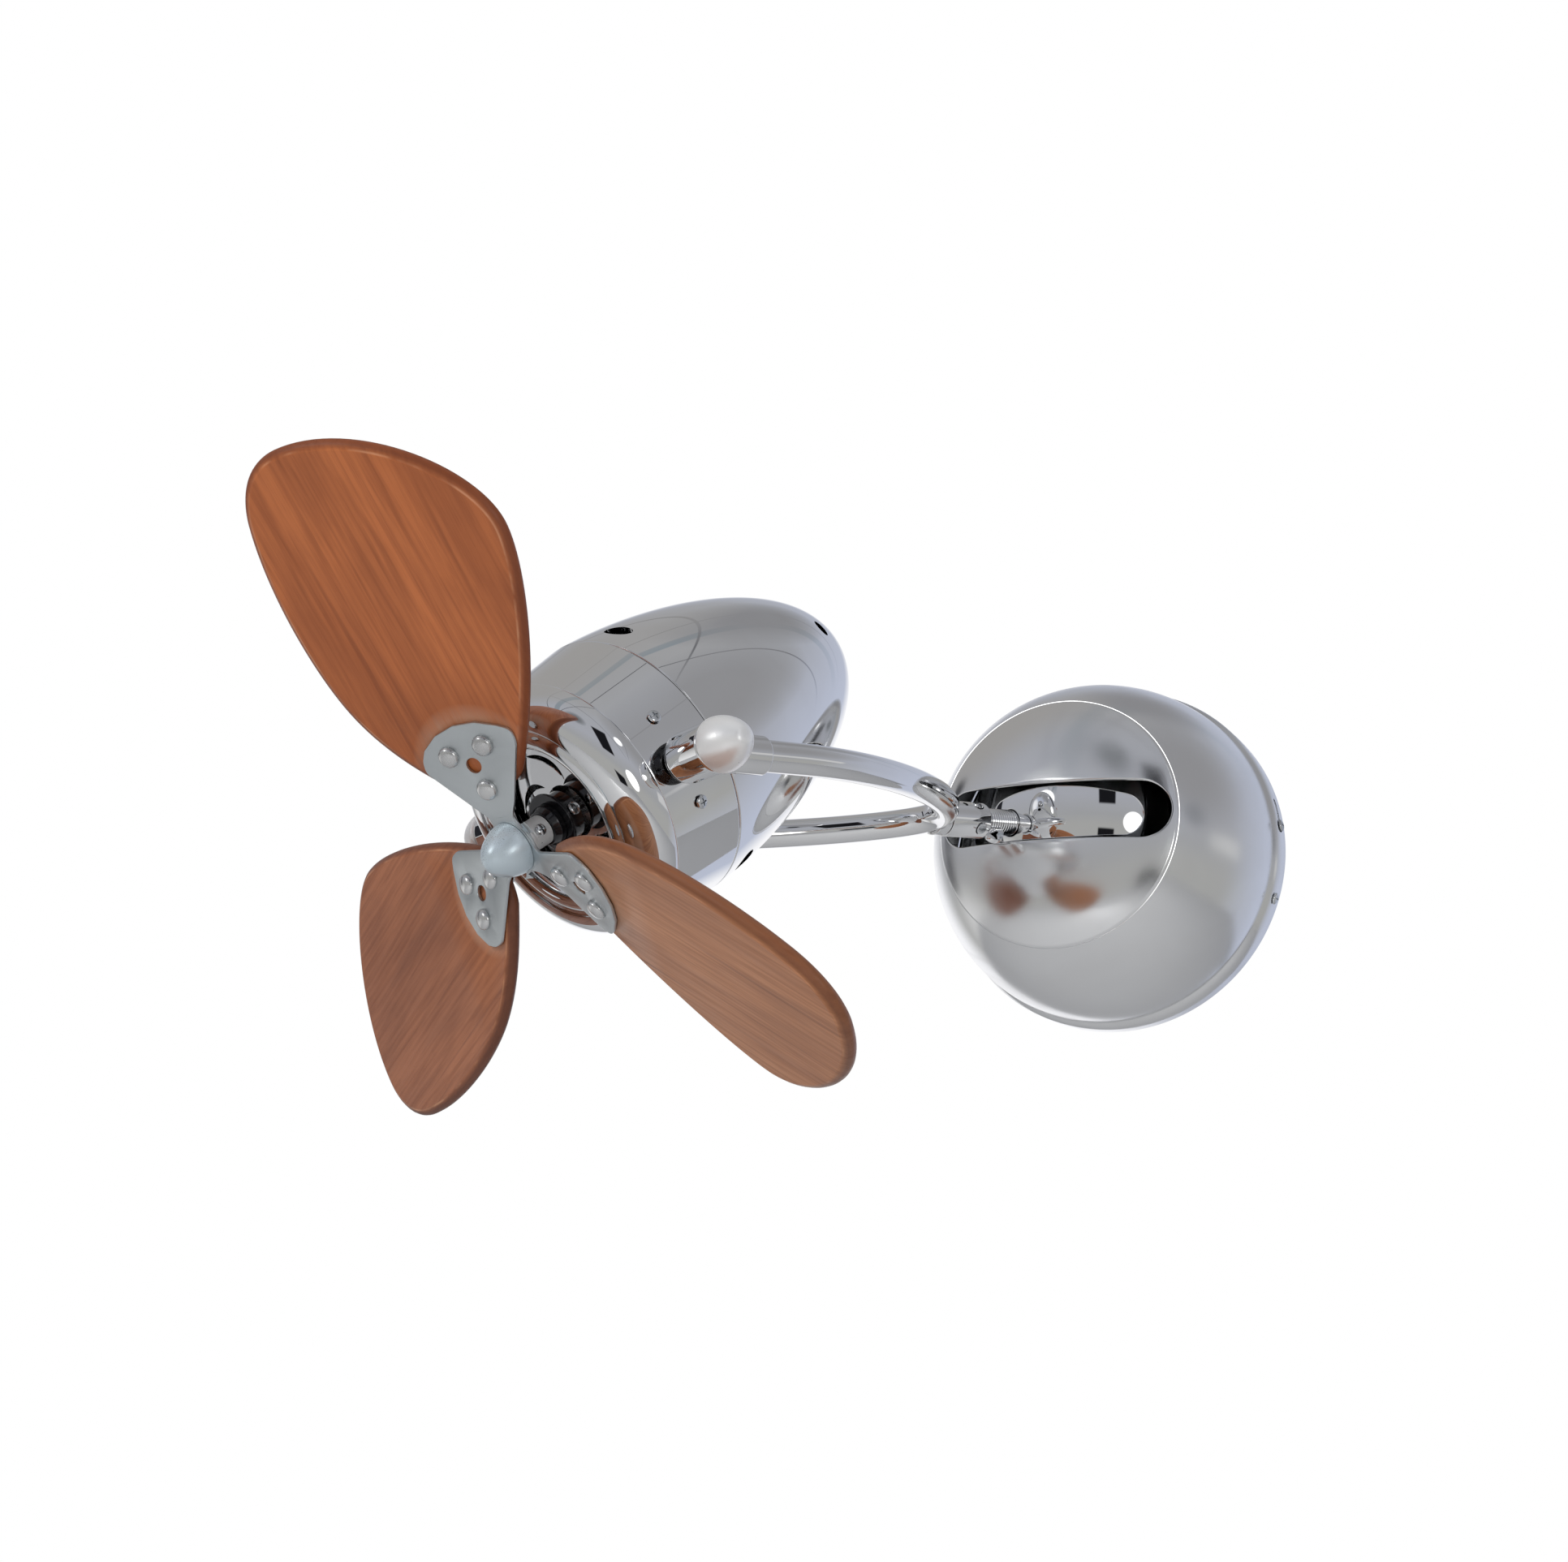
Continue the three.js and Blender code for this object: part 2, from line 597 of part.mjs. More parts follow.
// Recessed plate behind the hub, with curved air slots like the blades of an iris.
function ventPlate() {
  const plate = new THREE.Shape().absarc(0, 0, VENT_PLATE_R, 0, Math.PI * 2);
  plate.holes.push(new THREE.Path().absarc(0, 0, 11, 0, Math.PI * 2));
  const slots = 6;
  for (let i = 0; i < slots; i += 1) {
    const turn = (i / slots) * Math.PI * 2;
    const at = (radius, angle) => new THREE.Vector2(
      radius * Math.cos(turn + radians(angle)),
      radius * Math.sin(turn + radians(angle)),
    );
    const start = at(14, 0);
    const crown = at(25, 12);
    const end = at(27.5, 48);
    const belly = at(21, 20);
    const slot = new THREE.Path().moveTo(start.x, start.y);
    slot.quadraticCurveTo(crown.x, crown.y, end.x, end.y);
    slot.quadraticCurveTo(belly.x, belly.y, start.x, start.y);
    plate.holes.push(slot);
  }
  const geometry = new THREE.ExtrudeGeometry(plate, {
    depth: SHEET_THICKNESS,
    bevelEnabled: false,
    curveSegments: 6,
  });
  return solid(geometry.rotateX(Math.PI / 2).translate(0, -VENT_PLATE_REACH, 0));
}

// Tilt stud: a flared foot against the band, a plain journal and a threaded end.
function tiltStud(side) {
  const path = new THREE.Path()
    .moveTo(0, 47)
    .lineTo(STUD_THREAD_R, 47)
    .lineTo(STUD_THREAD_R, STUD_FOOT)
    .lineTo(6.2, STUD_FOOT)
    .bezierCurveTo(6.6, STUD_FOOT + 1.5, 9.4, STUD_FOOT + 1.5, 9.4, BOSS_START - 0.7)
    .lineTo(9.4, BOSS_START - GAP)
    .lineTo(STUD_R, BOSS_START - GAP)
    .lineTo(STUD_R, BOSS_END + 8)
    .lineTo(0, BOSS_END + 8);
  const stud = alongX(turned(path, COARSE, 4));
  if (side < 0) stud.rotateY(Math.PI);
  return solid(stud);
}

// End bracket of the motor: a disc with a cup that holds a bearing.
function endBracket(discR, disc, cupEnd) {
  const halfThickness = 1;
  const inner = BEARING_R + GAP;
  const cup = solid(ring(inner, inner + 2, Math.min(disc, cupEnd), Math.max(disc, cupEnd)));
  const flat = solid(ring(inner, discR, disc - halfThickness, disc + halfThickness));
  return join([cup, flat]);
}

const bearing = (from) => solid(ring(SHAFT_R + GAP, BEARING_R, from, from + BEARING_LENGTH));

const statorCore = () => solid(ring(ROTOR_R + 0.6, STATOR_R, STATOR_REAR, STATOR_FRONT, MEDIUM));

// End turns of the stator coils, a rounded ring against one end of the core.
function winding(from, to) {
  const middle = (from + to) / 2;
  const halfLength = (to - from) / 2;
  const path = new THREE.Path().absellipse(34.5, middle, 7, halfLength, 0, Math.PI * 2, false, 0);
  return solid(turned(path, MEDIUM, 3));
}

// -------------------------------------------------------------- rotor pieces

function motorShaft() {
  return solid(bar(SHAFT_R, SHAFT_END, PLATE_REACH - PLATE_THICKNESS - 2));
}

const rotorCore = () => solid(ring(SHAFT_R + GAP, ROTOR_R, STATOR_REAR, STATOR_FRONT, MEDIUM));

function shaftCollar() {
  const collar = solid(ring(SHAFT_R + GAP, 10, COLLAR_START, COLLAR_END));
  const hole = radial(solid(bar(1.9, -5, 5)), 9, HUB_SCREW_ANGLE, COLLAR_SCREW_REACH);
  return collar.subtract(hole);
}

const flingerDisc = () => solid(ring(SHAFT_R + GAP, 12, COLLAR_END + GAP, FLINGER_END));

function hubCollar() {
  const bore = SHAFT_R + GAP;
  const start = FLINGER_END + GAP;
  const path = new THREE.Path()
    .moveTo(bore, start)
    .lineTo(8.2, start)
    .lineTo(8.2, start + 2.3)
    .lineTo(6.8, HUB_COLLAR_END)
    .lineTo(bore, HUB_COLLAR_END)
    .lineTo(bore, start);
  return solid(turned(path, MEDIUM));
}

// Sleeve on the end of the shaft with a closed flared top that carries the blade plate.
function hubAdaptor() {
  const bore = SHAFT_R + GAP;
  const start = HUB_COLLAR_END + GAP;
  const top = PLATE_REACH - PLATE_THICKNESS - GAP;
  const floor = top - 1.2;
  const path = new THREE.Path()
    .moveTo(bore, start)
    .lineTo(6, start)
    .lineTo(6, 29.5)
    .lineTo(7.6, 31)
    .lineTo(7.6, top)
    .lineTo(0, top)
    .lineTo(0, floor)
    .lineTo(bore, floor)
    .lineTo(bore, start);
  const hole = radial(solid(bar(1.6, -4, 4)), 7, HUB_SCREW_ANGLE, ADAPTOR_SCREW_REACH);
  return solid(turned(path, MEDIUM)).subtract(hole);
}

const collarScrew = () => radial(screw(COLLAR_SCREW), 10.6, HUB_SCREW_ANGLE, COLLAR_SCREW_REACH);
const adaptorScrew = () => radial(screw(ADAPTOR_SCREW), 6.4, HUB_SCREW_ANGLE, ADAPTOR_SCREW_REACH);

// Turns something drawn flat on a blade's own plane (X outwards, Z across) to its place.
function onBlade(body, index) {
  const spoke = radians(ROTOR_TURN + (index * 360) / BLADE_COUNT);
  const move = new THREE.Matrix4()
    .makeRotationY(-spoke)
    .multiply(new THREE.Matrix4().makeTranslation(0, -PLATE_REACH, 0))
    .multiply(new THREE.Matrix4().makeRotationZ(-radians(BLADE_CONE)))
    .multiply(new THREE.Matrix4().makeRotationX(radians(BLADE_PITCH)));
  return placed(body, move);
}

// A flat sheet cut to an outline, from one depth behind the plate's front face to another.
function sheet(shape, front, back, curveSegments = 6) {
  const geometry = new THREE.ExtrudeGeometry(shape, {
    depth: back - front,
    bevelEnabled: false,
    curveSegments,
  });
  return solid(geometry.rotateX(Math.PI / 2).translate(0, back, 0));
}

const rivetHole = (radius) => RIVETS.map(([along, across]) => solid(
  bar(radius, -20, 20).translate(along, 0, across + PAD_OFFSET),
));

function padOutline() {
  const middle = PAD_OFFSET;
  return new THREE.Shape()
    .moveTo(14, middle - 7)
    .lineTo(38, middle - 22)
    .quadraticCurveTo(43.5, middle - 23.5, 46, middle - 18)
    .quadraticCurveTo(54.5, middle, 47, middle + 17.5)
    .lineTo(42, middle + 20.5)
    .lineTo(38, middle + 20)
    .lineTo(14, middle + 7);
}

// The neck between the hub disc and a pad: a strip that twists from flat to the blade's pitch.
function neck(index) {
  const from = 7;
  const to = 17;
  const strip = new THREE.BoxGeometry(to - from, PLATE_THICKNESS, 11.5, 5, 1, 1)
    .translate((from + to) / 2, PLATE_THICKNESS / 2, 0);
  const position = strip.attributes.position;
  const corner = new THREE.Vector3();
  const xAxis = new THREE.Vector3(1, 0, 0);
  for (let i = 0; i < position.count; i += 1) {
    corner.fromBufferAttribute(position, i);
    const share = THREE.MathUtils.smoothstep(corner.x, 10.5, to);
    corner.z += PAD_OFFSET * share;
    corner.applyAxisAngle(xAxis, radians(BLADE_PITCH) * share);
    position.setXYZ(i, corner.x, corner.y, corner.z);
  }
  const spoke = radians(ROTOR_TURN + (index * 360) / BLADE_COUNT);
  const move = new THREE.Matrix4()
    .makeRotationY(-spoke)
    .multiply(new THREE.Matrix4().makeTranslation(0, -PLATE_REACH, 0))
    .multiply(new THREE.Matrix4().makeRotationZ(-radians(BLADE_CONE)));
  return placed(solid(strip), move);
}

function bladeSpider() {
  const hub = solid(bar(11, PLATE_REACH - PLATE_THICKNESS, HUB_FACE, MEDIUM));
  const pad = cut(sheet(padOutline(), 0, PLATE_THICKNESS, 5), [
    ...rivetHole(2.3),
    solid(bar(3.1, -20, 20).translate(PAD_HOLE, 0, PAD_OFFSET)),
  ]);
  const arms = [];
  for (let i = 0; i < BLADE_COUNT; i += 1) {
    arms.push(neck(i), onBlade(pad, i));
  }
  return join([hub, ...arms]);
}

// Paddle outline: X along the blade from the axis, Y across it.
function bladeOutline() {
  return new THREE.Shape()
    .moveTo(24, 12)
    .bezierCurveTo(34, 22, 50, 36.5, 72, 41.6)
    .bezierCurveTo(92, 46.2, 124, 46, 148, 37.8)
    .bezierCurveTo(160, 33.6, 168.3, 24, 168.3, 11)
    .bezierCurveTo(168.3, -24, 136, -62, 113, -62.2)
    .bezierCurveTo(98, -62.3, 60, -45.5, 26, -17)
    .bezierCurveTo(20, -10, 19, 4, 24, 12);
}

function blade(index) {
  const front = PLATE_THICKNESS + GAP;
  const board = sheet(bladeOutline(), front, front + BLADE_THICKNESS, 7);
  return onBlade(cut(board, rivetHole(2.3)), index);
}

function rivet(bladeIndex, [along, across]) {
  const back = PLATE_THICKNESS + BLADE_THICKNESS + 2 * GAP;
  const path = new THREE.Path()
    .moveTo(0, 2.2)
    .quadraticCurveTo(3.9, 2.1, 4.2, GAP)
    .lineTo(2, GAP)
    .lineTo(2, -back)
    .lineTo(3.4, -back)
    .lineTo(3, -back - 1)
    .lineTo(0, -back - 1);
  const geometry = turned(path, COARSE, 2).translate(along, 0, across + PAD_OFFSET);
  return onBlade(solid(geometry), bladeIndex);
}

function spinner() {
  const base = HUB_FACE + GAP;
  const path = new THREE.Path()
    .moveTo(0, base)
    .lineTo(10.4, base)
    .bezierCurveTo(10.7, base + 4, 5.6, SPINNER_TIP - 0.6, 1.8, SPINNER_TIP - 0.2)
    .lineTo(0, SPINNER_TIP);
  return solid(turned(path, MEDIUM, 6));
}

// ------------------------------------------------------------------ assembly

const fan = new THREE.Group();
fan.add(
  part('wall_plate', wallPlate(), zincSteel),
  part('canopy_shell', canopyShell(), chrome),
  part('swivel_bracket', swivelBracket(), zincSteel),
  part('pivot_bolt', pivotBolt(), zincSteel),
  part('pivot_nut', pivotNut(), zincSteel),
  part('wall_screw_left', wallScrew(-1), zincSteel),
  part('wall_screw_right', wallScrew(1), zincSteel),
  part('terminal_block', terminalBlock(), whitePlastic),
);
RIM_SCREW_ANGLES.forEach((angle, i) => {
  const body = radial(screw(RIM_SCREW), CANOPY_R + GAP, angle, CANOPY_BAND / 2);
  fan.add(part(`canopy_screw_${i + 1}`, body, zincSteel));
});

const swing = new THREE.Group();
swing.position.set(0, -PIVOT_DEPTH, PIVOT_RISE);
swing.rotation.z = -radians(SWING_LEFT);
fan.add(swing);

const arm = new THREE.Group();
arm.rotation.x = radians(ARM_DROOP);
arm.add(
  part('swivel_shield', swivelShield(), chrome),
  part('arm_stem', armStem(), chrome),
  part('wing_nut', wingNut(), chrome),
);
swing.add(arm);

const yoke = new THREE.Group();
yoke.rotation.y = radians(YOKE_ROLL);
yoke.add(
  part('swivel_sleeve', swivelSleeve(), chrome),
  part('sleeve_set_screw', radial(solid(bar(2.6, -1.2, 1.2)), 7.5, -40, CLAMP_HOLE_REACH), zincSteel),
  part('yoke_collar', yokeCollar(), chrome),
  part('yoke_tube', yokeTube(), chrome),
  part('pivot_boss_right', pivotBoss(1), chrome),
  part('pivot_boss_left', pivotBoss(-1), chrome),
  part('tilt_knob_right', acornKnob(1), satinNickel),
  part('tilt_knob_left', acornKnob(-1), satinNickel),
);
arm.add(yoke);

const head = new THREE.Group();
head.position.set(0, -TILT_REACH, 0);
head.rotation.x = radians(HEAD_DIP);
head.add(
  part('tilt_stud_right', tiltStud(1), blackOxide),
  part('tilt_stud_left', tiltStud(-1), blackOxide),
);
yoke.add(head);

const motor = new THREE.Group();
motor.position.set(0, -DATUM_AHEAD, 0);
motor.add(
  part('front_band', frontBand(), chrome),
  part('rear_dome', rearDome(), chrome),
  part('bezel', bezel(), chrome),
  part('vent_plate', ventPlate(), chrome),
  part('stator_core', statorCore(), laminations),
  part('winding_front', winding(STATOR_FRONT + GAP, WINDING_FRONT_END), copper),
  part('winding_rear', winding(WINDING_REAR_END, STATOR_REAR - GAP), copper),
  part('front_bracket', endBracket(46.5, FRONT_BRACKET, FRONT_BRACKET + CUP_DEPTH), bareSteel),
  part('rear_bracket', endBracket(44, REAR_BRACKET, REAR_BRACKET - CUP_DEPTH), bareSteel),
  part('front_bearing', bearing(FRONT_BRACKET + 3), bareSteel),
  part('rear_bearing', bearing(REAR_BRACKET - 7), bareSteel),
);
BAND_SCREW_ANGLES.forEach((angle, i) => {
  motor.add(part(`band_screw_${i + 1}`, bandScrew(angle), zincSteel));
});
head.add(motor);

const rotor = new THREE.Group();
rotor.add(
  part('motor_shaft', motorShaft(), bareSteel),
  part('rotor_core', rotorCore(), laminations),
  part('shaft_collar', shaftCollar(), blackOxide),
  part('collar_screw', collarScrew(), zincSteel),
  part('flinger_disc', flingerDisc(), blackOxide),
  part('hub_collar', hubCollar(), blackOxide),
  part('hub_adaptor', hubAdaptor(), satinNickel),
  part('adaptor_screw', adaptorScrew(), zincSteel),
  part('blade_spider', bladeSpider(), satinAluminium),
  part('spinner', spinner(), satinAluminium),
);
for (let i = 0; i < BLADE_COUNT; i += 1) {
  rotor.add(part(`blade_${i + 1}`, blade(i), wood));
  RIVETS.forEach((place, j) => {
    rotor.add(part(`rivet_${i + 1}_${j + 1}`, rivet(i, place), bareSteel));
  });
}
motor.add(rotor);

export default fan;
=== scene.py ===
"""Looks for a wall fan with wooden blades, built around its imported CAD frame.

Shape functions work in millimetres in the frame of the group that a piece belongs to: X across, -Y
outwards along the piece ("reach"), Z up. place() turns that into metres in the frame's own axes.
"""

import json
import math

import bmesh
import bpy
from mathutils import Matrix, Vector


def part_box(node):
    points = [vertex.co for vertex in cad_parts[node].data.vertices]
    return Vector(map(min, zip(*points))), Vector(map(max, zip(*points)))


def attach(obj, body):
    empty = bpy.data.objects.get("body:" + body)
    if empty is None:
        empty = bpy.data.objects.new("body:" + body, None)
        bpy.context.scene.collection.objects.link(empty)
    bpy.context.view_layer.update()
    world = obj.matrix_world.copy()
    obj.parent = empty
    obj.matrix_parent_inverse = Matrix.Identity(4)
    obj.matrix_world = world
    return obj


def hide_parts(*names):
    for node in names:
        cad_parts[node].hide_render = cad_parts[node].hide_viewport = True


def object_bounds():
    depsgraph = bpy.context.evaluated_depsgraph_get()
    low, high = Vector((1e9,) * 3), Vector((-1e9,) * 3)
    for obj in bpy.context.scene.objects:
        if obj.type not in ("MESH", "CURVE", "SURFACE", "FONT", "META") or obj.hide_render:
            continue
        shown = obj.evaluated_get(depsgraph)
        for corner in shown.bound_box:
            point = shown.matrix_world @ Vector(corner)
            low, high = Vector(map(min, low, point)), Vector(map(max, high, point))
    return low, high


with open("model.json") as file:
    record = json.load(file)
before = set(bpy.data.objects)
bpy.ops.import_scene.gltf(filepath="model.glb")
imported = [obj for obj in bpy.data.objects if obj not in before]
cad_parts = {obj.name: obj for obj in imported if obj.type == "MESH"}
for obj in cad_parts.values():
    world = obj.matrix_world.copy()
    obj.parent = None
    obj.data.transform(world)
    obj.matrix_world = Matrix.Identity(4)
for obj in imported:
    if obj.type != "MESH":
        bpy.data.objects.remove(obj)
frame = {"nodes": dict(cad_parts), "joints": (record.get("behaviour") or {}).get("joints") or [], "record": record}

cad_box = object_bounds()

MM = 0.001
GAP = 0.3  # free space between neighbouring pieces
SKIN = 0.02  # how far the widest finished shapes stay inside the CAD ones
SIDES = 160  # sides of large turned pieces
SMALL_SIDES = 64

CANOPY_R = 82.6
CANOPY_BAND = 14
CANOPY_FACE_R = 57.7
CANOPY_FACE_REACH = 77
CANOPY_DEPTH = 90.5
CANOPY_WALL = 1.5
SLOT_HALF_LENGTH = 55
SLOT_HALF_HEIGHT = 13.2
SLOT_RISE = 2.4  # the slot's middle lies slightly above the canopy's centre
RIM_SCREW_ANGLES = (8, -16)
PLATE_WALL = 2.5
WALL_HOLE_X = 45

EYE_R = 9
BOLT_R = 3
SHIELD_R = 57
SHIELD_WALL = 1.6
SHIELD_SPREAD = 78  # degrees from the arm's axis to the shield's edge
STEM_R = 5.9
STEM_BORE = 4
FLANGE_R = STEM_R + 3.5
SLEEVE_R = 8.1
SLEEVE_START = 74.9
SLEEVE_END = 98.5
CLAMP_HOLE_REACH = SLEEVE_START + 6.5
STOP_HOLE_REACH = SLEEVE_START + 14
NUT_START = 62.5
NUT_LENGTH = 12
NUT_R = 8.3

YOKE_REACH = 104.9
YOKE_DEPTH = 176.8
TILT_REACH = YOKE_REACH + YOKE_DEPTH
YOKE_HALF_WIDTH = 70.4
YOKE_BEND = 134
YOKE_TUBE_R = 6.2
BOSS_R = 10
BOSS_START = 58.8
BOSS_END = 78
SOCKET_R = 7.5
SOCKET_LENGTH = 26
KNOB_R = 10.6
KNOB_LENGTH = 16.8
STUD_R = 4
STUD_THREAD_R = 2.6
STUD_FOOT = 54.8  # where a stud's foot stands on the band, from the head's axis

DATUM_AHEAD = 9.8  # the motor's datum, ahead of the tilt axis
SEAM = -28.8
SEAM_R = 56
TAIL_LENGTH = 121.6
BAND_FRONT = 2.8
BAND_FRONT_R = 52.1
HEAD_WALL = 1.5
BEZEL_OPENING_R = 30.2
BAND_SCREW_REACH = -12
BAND_SCREW_ANGLES = (20, -19, 160, 199)

SHAFT_R = 4
PLATE_REACH = 35.5
PLATE_THICKNESS = 1.5
HUB_FACE = PLATE_REACH + 0.8
SPINNER_TIP = 50.9
BLADE_PITCH = 18.5
BLADE_CONE = 5
BLADE_THICKNESS = 6
PAD_OFFSET = -1.5
RIVETS = ((24.6, 0), (41.2, 8.2), (41.2, -8.2))
RIVET_R = 4.2
PAD_HOLE = 35
HUB_SCREW_ANGLE = 8
COLLAR_SCREW_REACH = 11.2
ADAPTOR_SCREW_REACH = 26.4

# Screws: head radius, head height, shank radius, shank length.
WALL_SCREW = (4.4, 2.6, 2.2, 12)
RIM_SCREW = (2.8, 1.35, 1.4, 5)
BAND_SCREW = (2.7, 1.4, 1.2, 5)
COLLAR_SCREW = (2.6, 1.6, 1.6, 4.2)
ADAPTOR_SCREW = (2.3, 1.4, 1.3, 1.6)


# ------------------------------------------------------------------ local frames

JOINTS = {joint["name"]: joint for joint in frame["joints"]}
BODY_OF = {node: body for body, nodes in frame["record"]["behaviour"]["bodies"].items() for node in nodes}


def joint_axis(name):
    return Vector(JOINTS[name]["axis"]).normalized()


def group_frame(origin, outward, across):
    """Axes of a CAD group: -Y runs outwards, X lies as near to across as it can."""
    y = -outward.normalized()
    x = (across - y * across.dot(y)).normalized()
    axes = Matrix((x, y, x.cross(y))).transposed().to_4x4()
    axes.translation = origin
    return axes


ARM_PIVOT = Vector(JOINTS["arm_swing"]["pos_m"])
TILT_CENTRE = Vector(JOINTS["head_tilt"]["pos_m"])
STEM_AXIS = joint_axis("yoke_roll")
TILT_AXIS = joint_axis("head_tilt")
ROTOR_AXIS = joint_axis("rotor_spin")

WALL = Matrix.Identity(4)
ARM = group_frame(ARM_PIVOT, STEM_AXIS, Vector((0, 0, 1)).cross(STEM_AXIS))
YOKE = group_frame(ARM_PIVOT, STEM_AXIS, TILT_AXIS)
HEAD = group_frame(TILT_CENTRE, ROTOR_AXIS, TILT_AXIS)
MOTOR = group_frame(TILT_CENTRE + DATUM_AHEAD * MM * ROTOR_AXIS, ROTOR_AXIS, TILT_AXIS)


def node_centre(node):
    low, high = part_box(node)
    return (low + high) / 2


def spoke_angle(blade):
    """Angle of a blade's spoke about the rotor, in degrees, taken from its three CAD rivets."""
    inner, left, right = (node_centre(f"rivet_{blade}_{i}") for i in (1, 2, 3))
    spoke = MOTOR.inverted().to_3x3() @ ((left + right) / 2 - inner)
    return math.degrees(math.atan2(spoke.z, spoke.x))


def turn(axis, degrees):
    return Matrix.Rotation(math.radians(degrees), 4, axis)


def shift(x, y, z):
    return Matrix.Translation((x, y, z))


def blade_frame(blade):
    """Blade plane in the motor's frame, in millimetres: X along the blade, Z across it, Y its depth."""
    cone_and_pitch = turn("Z", -BLADE_CONE) @ turn("X", BLADE_PITCH)
    return turn("Y", -spoke_angle(blade)) @ shift(0, -PLATE_REACH, 0) @ cone_and_pitch


def radial(radius, angle, reach):
    """Lays a piece made along Y on a radius about Y, facing outwards."""
    return turn("Y", -angle) @ shift(radius, -reach, 0) @ turn("Z", 90)


# ---------------------------------------------------------------------- outlines


def bezier(a, b, c, d, steps=20):
    """Points of a cubic curve from a to d."""
    points = []
    for i in range(steps + 1):
        t = i / steps
        weights = ((1 - t) ** 3, 3 * t * (1 - t) ** 2, 3 * t * t * (1 - t), t**3)
        points.append(tuple(sum(w * p[k] for w, p in zip(weights, (a, b, c, d))) for k in (0, 1)))
    return points


def arc(centre, radius_x, radius_y, start, end, steps=24):
    """Points of an elliptical arc, with its angles in degrees."""
    angles = [math.radians(start + (end - start) * i / steps) for i in range(steps + 1)]
    return [(centre[0] + radius_x * math.cos(a), centre[1] + radius_y * math.sin(a)) for a in angles]


def corner(before, point, after, radius):
    """A sharp corner replaced by a small curve, with a support point just outside each end of it."""
    back, ahead = before - point, after - point
    if back.length < 1e-6 or ahead.length < 1e-6 or math.pi - back.angle(ahead) < math.radians(24):
        return [point]
    steps = 4
    reach = min(radius, back.length * 0.4, ahead.length * 0.4)
    start, end = point + back.normalized() * reach, point + ahead.normalized() * reach
    curve = []
    for i in range(steps + 1):
        t = i / steps
        curve.append(start * (1 - t) ** 2 + point * 2 * t * (1 - t) + end * t * t)
    support = reach * 1.15
    return [point + back.normalized() * support, *curve, point + ahead.normalized() * support]


def softened(points, radius, closed=True):
    """The outline with each sharp corner rounded, so that no edge of the piece is knife sharp."""
    path = [Vector(p) for p in points]
    soft = []
    for i, point in enumerate(path):
        if not closed and i in (0, len(path) - 1):
            soft.append(point)
        else:
            soft += corner(path[i - 1], point, path[(i + 1) % len(path)], radius)
    return [tuple(p) for p in soft]


def circle(x, z, radius, steps):
    return arc((x, z), radius, radius, 0, 360 - 360 / steps, steps - 1)


def inset(points, distance):
    """A closed counter-clockwise outline moved inwards."""
    moved = []
    for i, point in enumerate(points):
        before, after = Vector(points[i - 1]), Vector(points[(i + 1) % len(points)])
        along = (after - before).normalized()
        moved.append((point[0] - along.y * distance, point[1] + along.x * distance))
    return moved


# ------------------------------------------------------------------------ shapes


def full_turn(count):
    """Evenly spaced angles of a full circle, in radians."""
    return [2 * math.pi * i / count for i in range(count)]


def ring_about_y(shape, radius, reach, angles):
    return [shape.verts.new((radius * math.cos(a), -reach, radius * math.sin(a))) for a in angles]


def turned(outline, sides=SIDES):
    """Solid turned about Y from (radius, reach) points that close on themselves or end on the axis."""
    shape = bmesh.new()
    rings = []
    for radius, reach in outline:
        on_axis = radius < 1e-6
        rings.append(ring_about_y(shape, radius, reach, [0] if on_axis else full_turn(sides)))
    if len(rings[0]) > 1 and len(rings[-1]) > 1:
        rings.append(rings[0])
    for ring, following in zip(rings, rings[1:]):
        bridge(shape, ring, following)
    bmesh.ops.recalc_face_normals(shape, faces=shape.faces)
    return shape


def bridge(shape, ring, following):
    """Faces between two rings of vertices, either of which may be a single point."""
    count = max(len(ring), len(following))
    if count == 1:
        return
    for i in range(count):
        j = (i + 1) % count
        corners = [ring[i % len(ring)], ring[j % len(ring)], following[j % len(following)],
                   following[i % len(following)]]
        shape.faces.new(list(dict.fromkeys(corners)))


def sheet(outline, holes, edge, hole_edge=((0.25, 0), (0, 0.25))):
    """Flat solid in the XZ plane, from the (inset, depth) points of its edge, front to back."""
    shape = bmesh.new()
    thickness = edge[-1][1]
    hole_back = [(step, thickness - depth) for step, depth in reversed(hole_edge)]
    front, back = [], []
    for loop, profile, side in [(outline, edge, 1)] + [(h, [*hole_edge, *hole_back], -1) for h in holes]:
        rings = []
        for step, depth in profile:
            ring = inset(loop, side * step)
            rings.append([shape.verts.new((x, depth, z)) for x, z in ring])
        for ring, following in zip(rings, rings[1:]):
            bridge(shape, ring, following)
        front += ring_edges(shape, rings[0])
        back += ring_edges(shape, rings[-1])
    bmesh.ops.triangle_fill(shape, edges=front, use_beauty=True)
    bmesh.ops.triangle_fill(shape, edges=back, use_beauty=True)
    bmesh.ops.recalc_face_normals(shape, faces=shape.faces)
    return shape


def ring_edges(shape, ring):
    return [shape.edges.get((ring[i - 1], ring[i])) for i in range(len(ring))]


